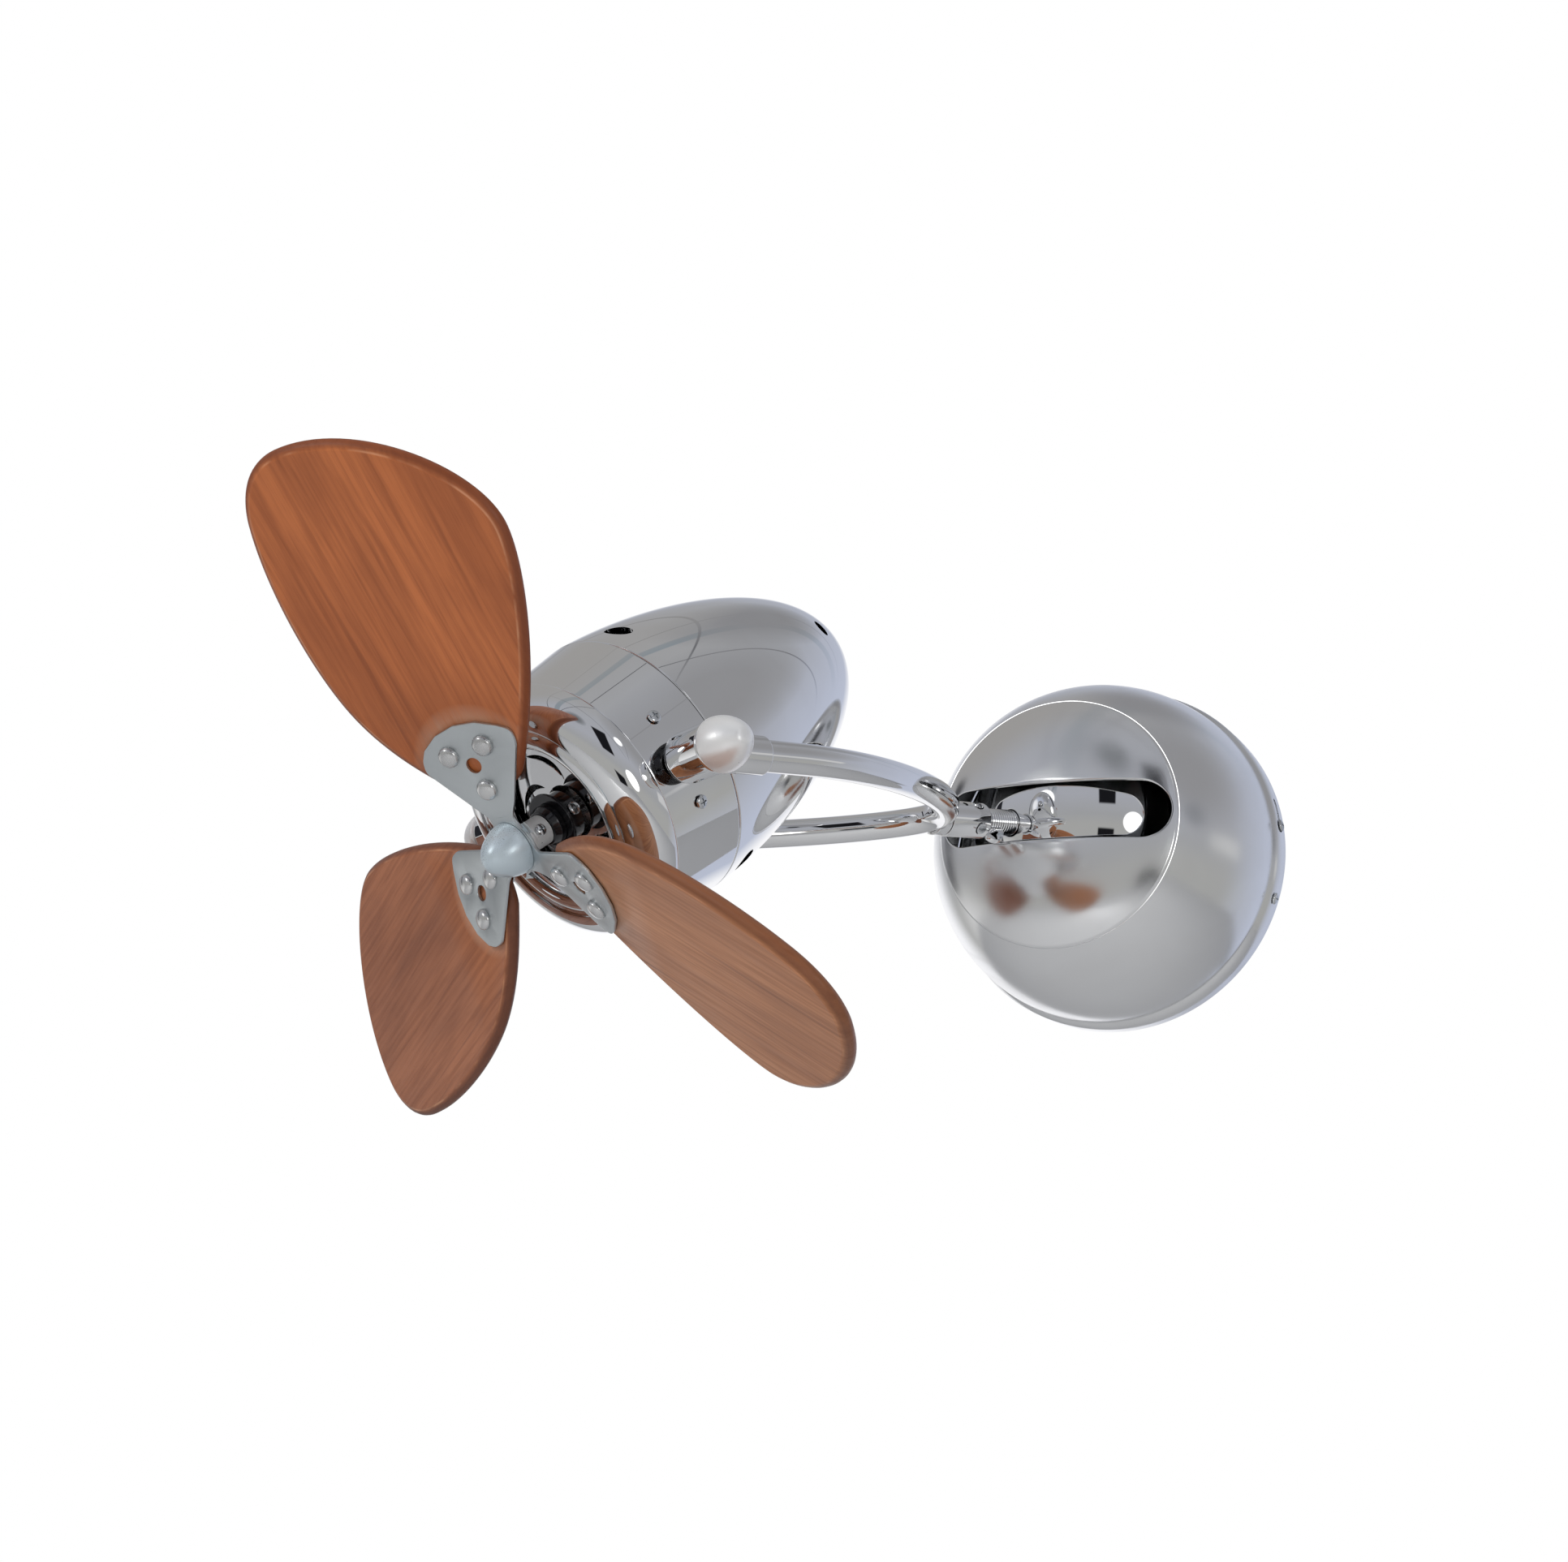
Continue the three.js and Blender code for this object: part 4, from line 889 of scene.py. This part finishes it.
def band_radius(reach):
    return SEAM_R + (BAND_FRONT_R - SEAM_R) * (reach - SEAM) / (BAND_FRONT - SEAM)


def front_band():
    steps = 12
    reaches = [SEAM + (BAND_FRONT - SEAM) * i / steps for i in range(steps + 1)]
    outer = [(band_radius(reach), reach) for reach in reaches]
    inner = [(BAND_FRONT_R - HEAD_WALL, BAND_FRONT), (SEAM_R - HEAD_WALL, SEAM)]
    return turned(softened(outer + inner, 0.6))


def oval(half_length, half_width, radius, angle, reach):
    """Cutter for an oval vent, long across the head's axis."""
    rounded = arc((0, 0), half_width, half_length, 0, 352.5, 47)
    return moved(sheet(rounded, [], ((0, -14), (0, 14))), radial(radius, angle, reach))


def rear_dome():
    """Egg-shaped tail: a superellipse, square to the band at the seam and closed on the axis."""
    start = SEAM - GAP

    def outline(inset_by, steps):
        points = []
        for i in range(steps + 1):
            share = math.sin(math.pi / 2 * i / steps)
            radius = max(SEAM_R * (1 - share**1.78) ** 0.47 - inset_by, 0) if i < steps else 0
            points.append((radius, start - share * (TAIL_LENGTH - inset_by)))
        return points

    outside, inside = outline(0, 90), outline(HEAD_WALL, 40)
    while inside[-2][0] == 0:
        inside.pop()
    profile = softened(outside[::-1] + inside, 0.6, closed=False)
    vents = [oval(7, 4, 50, angle, -41) for angle in (68, 112, -68, -112)]
    vents += [oval(4, 2.6, 26, angle, -129) for angle in (20, 160, -90)]
    return cut(turned(profile, 200), *vents)


def bezel():
    """Polished ring: a rolled outer edge, a groove and a rolled inner lip."""
    start, outer, lip = BAND_FRONT + GAP, BAND_FRONT_R + 0.4, BEZEL_OPENING_R
    inner, back = outer - HEAD_WALL, lip + HEAD_WALL
    profile = [(inner, start), *bezier((outer, start), (outer, 10), (49, 17.5), (40.2, 17.5), 36)]
    profile += [(39.4, 16.4), *bezier((38.6, 16.4), (36.5, 18.6), (lip, 19.4), (lip, 12), 28), (lip, 8.6)]
    profile += [(back, 8.6), *bezier((back, 12), (back, 17), (36, 16.4), (38.6, 14.9), 16)]
    profile += bezier((38.6, 14.9), (48, 15), (inner, 9), (inner, start + 0.3), 20)[1:]
    return turned(softened(profile, 0.4), 200)


def vent_plate():
    """Recessed plate with curved air slots like the blades of an iris."""
    slots = []
    for i in range(6):
        spin = 60 * i

        def at(radius, angle, spin=spin):
            a = math.radians(spin + angle)
            return (radius * math.cos(a), radius * math.sin(a))

        outer = bezier(at(14, 0), at(21.5, 6), at(26, 24), at(27.5, 48), 20)
        inner = bezier(at(27.5, 48), at(23.5, 30), at(19, 12), at(14, 0), 20)[1:-1]
        slots.append(outer + inner)
    edge = ((0.3, 0), (0, 0.3), (0, 1.2), (0.3, 1.5))
    plate = sheet(circle(0, 0, 47, 120), [circle(0, 0, 11, 60), *slots], edge, ((0.2, 0), (0, 0.2)))
    return moved(plate, shift(0, -6, 0))


def tilt_stud():
    """Flared foot against the band, a plain journal and a threaded end."""
    low, high, end = STUD_FOOT + 1.5, BOSS_START - 0.7, BOSS_END + 8
    flare = bezier((6.2, STUD_FOOT + 0.4), (6.6, low), (9.4, low), (9.4, high), 16)
    profile = [(0, 47), (STUD_THREAD_R, 47), (STUD_THREAD_R, STUD_FOOT), (6.2, STUD_FOOT), *flare]
    profile += [(9.4, BOSS_START - GAP), (STUD_R, BOSS_START - GAP), (STUD_R, BOSS_END + 1)]
    profile += thread(STUD_R, BOSS_END + 1, end, 1.2, 0.3) + [(STUD_R, end), (0, end)]
    return turned(softened(profile, 0.4, closed=False), SMALL_SIDES)


def head_pieces():
    place("front_band", front_band(), MOTOR, CHROME)
    place("rear_dome", rear_dome(), MOTOR, CHROME)
    place("bezel", bezel(), MOTOR, CHROME)
    place("vent_plate", vent_plate(), MOTOR, CHROME)
    for i, angle in enumerate(BAND_SCREW_ANGLES, 1):
        seat = band_radius(BAND_SCREW_REACH) + GAP
        spot = in_group(MOTOR, radial(seat, angle, BAND_SCREW_REACH))
        place(f"band_screw_{i}", screw(*BAND_SCREW), spot, ZINC)
    for name, side in (("right", 1), ("left", -1)):
        place(f"tilt_stud_{name}", tilt_stud(), in_group(HEAD, turn("Z", 90 * side)), BLACK)


# ---------------------------------------------------------------- rotor pieces


def hub_part(points, sides=96, radius=0.3):
    return turned(softened(points, radius), sides)


def shaft_collar():
    collar = hub_part([(SHAFT_R + GAP, 8), (10, 8), (10, 14.4), (SHAFT_R + GAP, 14.4)], radius=0.6)
    return cut(collar, moved(rod(1.9, -5, 5, 32), radial(9, HUB_SCREW_ANGLE, COLLAR_SCREW_REACH)))


def hub_adaptor():
    top = PLATE_REACH - PLATE_THICKNESS - GAP
    bore, foot, roof = SHAFT_R + GAP, 21.3, top - 1.2
    outside = softened([(6, foot), (6, 29.5), (7.6, 31), (7.6, top)], 0.5, closed=False)
    adaptor = turned([(bore, foot), *outside, (0, top), (0, roof), (bore, roof), (bore, foot)], 96)
    bmesh.ops.remove_doubles(adaptor, verts=adaptor.verts, dist=1e-5)
    return cut(adaptor, moved(rod(1.6, -4, 4, 32), radial(7, HUB_SCREW_ANGLE, ADAPTOR_SCREW_REACH)))


def smoothstep(value, low, high):
    t = min(max((value - low) / (high - low), 0), 1)
    return t * t * (3 - 2 * t)


def arm_outline():
    """One arm of the flat plate: its neck and its pad, in the plane of the hub."""
    neck = [(4.5, 12.5), (7.5, 8.2), (11, 6.1), (14, 6.4)]
    pad = [(38, 21.5), (42.5, 20.5), (46.5, 17.2), (50.5, 9.5), (52, 0)]
    pad += [(50.5, -9.5), (46.5, -18), (43.5, -22.5), (38, -22)]
    return [(x, -z) for x, z in neck] + pad[::-1] + neck[::-1]


def blade_spider():
    """One pressed plate: drawn flat, then each arm is coned and its neck twisted to the blade's pitch."""
    spokes = [spoke_angle(blade) for blade in (1, 2, 3)]
    order = sorted(spokes, key=lambda a: a % 360)
    outline, holes = [], []
    arm = softened(arm_outline(), 3.5, closed=False)
    spots = [(x, z, 2.3) for x, z in RIVETS] + [(PAD_HOLE, 0, 3.1)]
    for spoke in order:
        a = math.radians(spoke)

        def laid(x, z, a=a):
            return (x * math.cos(a) - z * math.sin(a), x * math.sin(a) + z * math.cos(a))

        outline += [laid(x, z) for x, z in arm]
        holes += [[laid(x, z) for x, z in circle(u, v, r, 32)] for u, v, r in spots]
    edge = [(0.5, 0), (0.35, 0.02), (0.1, 0.15), (0, 0.4)]
    edge += [(0, PLATE_THICKNESS - 0.3), (0.3, PLATE_THICKNESS)]
    shape = sheet(outline, holes, edge, ((0.35, 0), (0.1, 0.1), (0, 0.35)))
    for spoke in spokes:
        a = math.radians(spoke)
        along = Vector((math.cos(a), 0, math.sin(a)))
        for reach in range(7, 18):  # rows of vertices across the neck, where the plate bends
            whole = shape.verts[:] + shape.edges[:] + shape.faces[:]
            bmesh.ops.bisect_plane(shape, geom=whole, plane_co=along * reach, plane_no=along, dist=1e-5)
    for vertex in shape.verts:
        vertex.co = pressed(vertex.co, spokes)
    inner, outer, back = SHAFT_R - 3, 10.9, PLATE_REACH - 0.7
    washer = hub_part([(inner, back), (outer, back), (outer, HUB_FACE), (inner, HUB_FACE)], 96, 0.25)
    return join(shape, washer)


def pressed(spot, spokes):
    """Where a point of the flat plate ends up after pressing, in the motor's frame."""
    angle = math.degrees(math.atan2(spot.z, spot.x))
    spoke = min(spokes, key=lambda s: abs((angle - s + 180) % 360 - 180))
    local = turn("Y", spoke) @ spot
    twist = smoothstep(local.x, 8, 17)
    local.z += PAD_OFFSET * twist
    local = turn("X", BLADE_PITCH * twist) @ local
    local = turn("Z", -BLADE_CONE * smoothstep(local.x, 3, 12)) @ local
    return turn("Y", -spoke) @ shift(0, -PLATE_REACH, 0) @ local


def blade_outline():
    """Paddle outline: X along the blade from the rotor's axis, Z across it."""
    outline = bezier((24, 12), (34, 22), (50, 36.5), (72, 41.6))
    outline += bezier((72, 41.6), (92, 46.2), (124, 46), (148, 37.8))[1:]
    outline += bezier((148, 37.8), (160, 33.6), (168.3, 24), (168.3, 11))[1:]
    outline += bezier((168.3, 11), (168.3, -24), (136, -62), (113, -62.2), 30)[1:]
    outline += bezier((113, -62.2), (98, -62.3), (60, -45.5), (26, -17), 24)[1:]
    outline += bezier((26, -17), (20, -10), (19, 4), (24, 12), 14)[1:-1]
    return outline[::-1]


def blade_board():
    """Flat board with rounded edges and rivet holes. mark_edge later gives it the float attribute "edge", which is
    1 at the rim.
    """
    width, half, steepest = 3.4, BLADE_THICKNESS / 2, math.radians(72)
    edge = [(width + 0.25, 0)]
    for degrees in (72, 60, 45, 30, 15, 0, -15, -30, -45, -60, -72):
        a = math.radians(degrees)
        step = width * (1 - math.cos(a)) / (1 - math.cos(steepest))
        edge.append((step, half * (1 - math.sin(a) / math.sin(steepest))))
    edge.append((width + 0.25, BLADE_THICKNESS))
    holes = [circle(x, z + PAD_OFFSET, 2.3, 32) for x, z in RIVETS]
    shape = sheet(blade_outline(), holes, edge)
    return moved(shape, shift(0, PLATE_THICKNESS + GAP, 0))


def mark_edge(board, spot):
    """Stores how near each point is to the blade's rim, for the wood's darker rounded edge and the painted
    highlight along its crease.
    """
    to_blade = spot.inverted()
    front, half = (PLATE_THICKNESS + GAP) * MM, BLADE_THICKNESS / 2 * MM
    attribute = board.data.attributes.new("edge", "FLOAT", "POINT")
    for vertex, value in zip(board.data.vertices, attribute.data):
        depth = (to_blade @ vertex.co).y - front
        value.value = min(1, max(0, 1 - abs(depth - half) / half)) ** 0.6


def rivet():
    """Domed head in front, a small washer head behind."""
    back = PLATE_THICKNESS + BLADE_THICKNESS + GAP * 2
    dome = bezier((0, 2.5), (RIVET_R * 0.55, 2.5), (RIVET_R, 1.7), (RIVET_R, 0.25), 14)
    profile = [*dome, (RIVET_R, 0.02), (2.1, 0.02), (2.1, -back + 0.2), (3.6, -back + 0.2)]
    profile += [(3.4, -back - 0.8), (0, -back - 1)]
    return turned(softened(profile, 0.2, closed=False), 56)


def spinner():
    """Acorn-shaped cap with a short base band."""
    base, end, shoulder = HUB_FACE + 0.05, SPINNER_TIP, (2.6, SPINNER_TIP - 0.5)
    body = bezier((10.4, base + 0.9), (10.6, base + 5.5), (6.4, end - 1.3), shoulder, 36)
    tip = bezier(shoulder, (1.8, end), (0.8, end), (0, end), 8)[1:]
    return turned(softened([(0, base), (10.4, base), *body, *tip], 0.4, closed=False), 128)


def rotor_pieces():
    bore, shaft_end = SHAFT_R + GAP, PLATE_REACH - PLATE_THICKNESS - 2
    disc = hub_part([(bore, 14.7), (12, 14.7), (12, 15.9), (bore, 15.9)], 128)
    collar = hub_part([(bore, 16.2), (8.2, 16.2), (8.2, 18.5), (6.8, 21), (bore, 21)])
    shaft = softened([(0, -88), (SHAFT_R, -88), (SHAFT_R, shaft_end), (0, shaft_end)], 0.5, closed=False)
    place("shaft_collar", shaft_collar(), MOTOR, BLACK)
    place("flinger_disc", disc, MOTOR, BLACK)
    place("hub_collar", collar, MOTOR, BLACK)
    place("hub_adaptor", hub_adaptor(), MOTOR, NICKEL)
    place("motor_shaft", turned(shaft, SMALL_SIDES), MOTOR, STEEL)
    spot = in_group(MOTOR, radial(10.6, HUB_SCREW_ANGLE, COLLAR_SCREW_REACH))
    place("collar_screw", screw(*COLLAR_SCREW), spot, ZINC)
    spot = in_group(MOTOR, radial(6.4, HUB_SCREW_ANGLE, ADAPTOR_SCREW_REACH))
    place("adaptor_screw", screw(*ADAPTOR_SCREW), spot, ZINC)
    place("blade_spider", blade_spider(), MOTOR, ALUMINIUM)
    place("spinner", spinner(), MOTOR, SPINNER_METAL)


WOOD_LOOKS = (
    ((3.1, 0.4, 1.7), (1.0, 1.0, 1.0)),
    ((8.6, 2.2, 5.3), (0.72, 0.85, 1.18)),
    ((14.2, 7.9, 9.4), (1.0, 1.36, 1.78)),
)


def blades():
    for number, (seed, tone) in enumerate(WOOD_LOOKS, 1):
        spot = in_group(MOTOR, blade_frame(number))
        wood = blade_wood(f"lacquered_wood_{number}", spot, seed, tone)
        mark_edge(place(f"blade_{number}", blade_board(), spot, wood, 60), spot)
        for i, (x, z) in enumerate(RIVETS, 1):
            seat = spot @ shift(x * MM, 0, (z + PAD_OFFSET) * MM)
            place(f"rivet_{number}_{i}", rivet(), seat, STEEL)


# ------------------------------------------------------------------ hidden pieces

HIDDEN_FINISHES = {
    "swivel_bracket": ZINC,
    "pivot_bolt": ZINC,
    "pivot_nut": ZINC,
    "terminal_block": PLASTIC,
    "stator_core": LAMINATIONS,
    "rotor_core": LAMINATIONS,
    "winding_front": COPPER,
    "winding_rear": COPPER,
    "front_bracket": STEEL,
    "rear_bracket": STEEL,
    "front_bearing": STEEL,
    "rear_bearing": STEEL,
}


def hidden_pieces():
    """CAD pieces kept as they are, inside the canopy and the motor, with their own finishes."""
    for name, material in HIDDEN_FINISHES.items():
        mesh = frame["nodes"][name].data
        mesh.materials.clear()
        mesh.materials.append(material)


# ------------------------------------------------------------------------- stage


def stage_floor():
    """Plain pale floor, well below the fan."""
    shape = bmesh.new()
    bmesh.ops.create_grid(shape, x_segments=2, y_segments=2, size=2)
    floor = to_object(shape, "floor")
    floor.location.z = -0.9
    material, tree, shader = new_material("floor_paint")
    paint = mix_colour(tree, noise(tree, (1, 1, 1), 60, 3), (0.68, 0.68, 0.67), (0.72, 0.72, 0.71))
    feed(tree, shader, {"Base Color": paint, "Roughness": 0.7})
    floor.data.materials.append(material)


def toward(azimuth, elevation):
    """Direction from the fan, in degrees: azimuth 0 is out from the wall, 90 is to the right."""
    a, e = math.radians(azimuth), math.radians(elevation)
    return Vector((math.sin(a) * math.cos(e), -math.cos(a) * math.cos(e), math.sin(e)))


# Brightness of the studio by height, from straight down (0) to straight up (1).
STUDIO_LEVELS = (
    (0.0, (0.40, 0.40, 0.385)),
    (0.42, (0.40, 0.40, 0.39)),
    (0.5, (0.37, 0.375, 0.385)),
    (0.66, (0.40, 0.41, 0.45)),
    (0.9, (0.39, 0.40, 0.43)),
    (1.0, (0.37, 0.37, 0.375)),
)

# Soft-edged round shapes: azimuth, elevation, full and faded half angles, colour.
STUDIO_SHAPES = (
    (175, 0, 15, 58, (0.53, 0.57, 0.69)),
    (-150, 0, 14, 34, (1.0, 1.0, 1.02)),
    (-88, -34, 12, 34, (0.85, 0.85, 0.85)),
    (97, 44, 14, 36, (0.30, 0.30, 0.31)),
    (180, 62, 6, 22, (0.27, 0.27, 0.28)),
    (-90, 52, 15, 40, (0.36, 0.35, 0.34)),
    (90, 17, 3, 8, (0.2, 0.21, 0.23)),
    (3, 39, 3, 11, (0.16, 0.17, 0.18)),
    (60, 38, 3, 5, (1.9, 1.9, 1.9)),
    (57, -5, 7, 10, (3.2, 3.2, 3.15)),
    (-27, 13, 7, 10, (3.2, 3.2, 3.15)),
)

# Soft-edged upright panels: azimuth, half width, lower and upper elevation, colour.
STUDIO_PANELS = (
    (112, 12, 2, 8, (0.6, 0.6, 0.6)),
    (152, 14, -30, -19, (0.26, 0.265, 0.28)),
    (32, 8, 11, 38, (0.01, 0.01, 0.012)),
    (32, 8, -48, -14, (0.01, 0.01, 0.012)),
    (-82, 5, -8, 28, (0.02, 0.02, 0.025)),
)

# Seams in the tent's roof, as great circles: azimuth and elevation of their poles, half width, colour.
STUDIO_SEAMS = (
    (72, 2, 0.045, (0.23, 0.27, 0.30)),
    (72, 15, 0.006, (0.06, 0.06, 0.07)),
    (64, -13, 0.006, (0.06, 0.06, 0.07)),
    (160, 24, 0.006, (0.10, 0.10, 0.11)),
    (150, -12, 0.006, (0.10, 0.10, 0.11)),
)


def sine(degrees):
    return math.sin(math.radians(degrees))


def cosine(degrees):
    return math.cos(math.radians(degrees))


def studio_colour(tree):
    """Colour of the grey light tent in the direction that a reflected ray takes."""
    direction = node(tree, "ShaderNodeTexCoord").outputs["Generated"]

    def along(aim):
        inputs = {0: direction, 1: aim}
        return node(tree, "ShaderNodeVectorMath", inputs, operation="DOT_PRODUCT").outputs["Value"]

    def off_plane(azimuth, elevation):
        """Distance from the plane through the fan with this pole."""
        inputs = {0: along(toward(azimuth, elevation))}
        return node(tree, "ShaderNodeMath", inputs, operation="ABSOLUTE").outputs[0]

    height = along(Vector((0, 0, 1)))
    ramp = node(tree, "ShaderNodeValToRGB", {0: remap(tree, height, -1, 1, 0, 1)})
    elements = ramp.color_ramp.elements
    while len(elements) < len(STUDIO_LEVELS):
        elements.new(0.5)
    for element, (position, colour) in zip(elements, STUDIO_LEVELS):
        element.position = position
        element.color = (*colour, 1)
    studio = ramp.outputs[0]
    roof = remap(tree, height, 0.3, 0.45, 0, 1)
    for azimuth, elevation, half_width, colour in STUDIO_SEAMS:
        seam = remap(tree, off_plane(azimuth, elevation), half_width * 0.7, half_width, 0.8, 0)
        studio = mix_colour(tree, product(tree, seam, roof), studio, colour)
    for azimuth, elevation, full, faded, colour in STUDIO_SHAPES:
        share = remap(tree, along(toward(azimuth, elevation)), cosine(faded), cosine(full), 0, 1)
        studio = mix_colour(tree, share, studio, colour)
    for azimuth, half_width, low, high, colour in STUDIO_PANELS:
        limit = sine(half_width)
        across = remap(tree, off_plane(azimuth + 90, 0), limit * 0.85, limit, 1, 0)
        facing = remap(tree, along(toward(azimuth, 0)), 0, 0.1, 0, 1)
        bottom = remap(tree, height, sine(low - 2), sine(low), 0, 1)
        top = remap(tree, height, sine(high), sine(high + 2), 1, 0)
        panel = product(tree, product(tree, across, facing), product(tree, bottom, top))
        studio = mix_colour(tree, panel, studio, colour)
    return studio


def studio_world():
    """Soft grey light tent for reflections; the camera itself sees plain white."""
    world = bpy.data.worlds.new("studio")
    bpy.context.scene.world = world
    world.use_nodes = True
    tree = world.node_tree
    tree.nodes.clear()
    reflected = node(tree, "ShaderNodeBackground", {0: studio_colour(tree), 1: 1.0})
    white = node(tree, "ShaderNodeBackground", {0: (1, 1, 1, 1), 1: 1.0})
    seen = node(tree, "ShaderNodeLightPath").outputs["Is Camera Ray"]
    both = node(tree, "ShaderNodeMixShader", {0: seen, 1: reflected.outputs[0], 2: white.outputs[0]})
    node(tree, "ShaderNodeOutputWorld", {0: both.outputs[0]})


def softbox(name, offset, width, height, power):
    """Soft lamp that lights the fan but isn't mirrored in its chrome; the world gives the reflections."""
    middle = (cad_box[0] + cad_box[1]) / 2
    light = bpy.data.lights.new(name, "AREA")
    light.shape = "RECTANGLE"
    light.size, light.size_y = width, height
    light.energy = power
    lamp = bpy.data.objects.new(name, light)
    bpy.context.scene.collection.objects.link(lamp)
    lamp.location = middle + Vector(offset)
    lamp.rotation_mode = "QUATERNION"
    lamp.rotation_quaternion = (-Vector(offset)).to_track_quat("-Z", "Y")
    lamp.visible_glossy = False


def lighting():
    studio_world()
    softbox("key", (-0.9, -1.5, 0.9), 0.8, 0.8, 13)
    softbox("side", (1.5, -0.8, 0.3), 0.4, 1.2, 7)
    softbox("top", (0.1, -0.2, 1.5), 1.2, 1.0, 6)
    softbox("low", (0.3, -1.4, -0.7), 0.8, 0.8, 5)


def camera():
    """The photograph's viewpoint: low on the right, looking up at the blades."""
    data = bpy.data.cameras.new("camera")
    data.sensor_width = 36
    data.lens = 48.39
    eye = bpy.data.objects.new("camera", data)
    bpy.context.scene.collection.objects.link(eye)
    right = Vector((0.86907, 0.48949, 0.07158)).normalized()
    forward = Vector((-0.48968, 0.83066, 0.26501)).normalized()
    up = right.cross(forward).normalized()
    view = Matrix((right, up, -forward)).transposed().to_4x4()
    view.translation = (0.36142, -0.93505, -0.24345)
    eye.matrix_world = view
    bpy.context.scene.camera = eye


wall_pieces()
arm_pieces()
yoke_pieces()
head_pieces()
rotor_pieces()
blades()
hidden_pieces()
stage_floor()
lighting()
camera()
bpy.context.scene.view_settings.view_transform = "Standard"
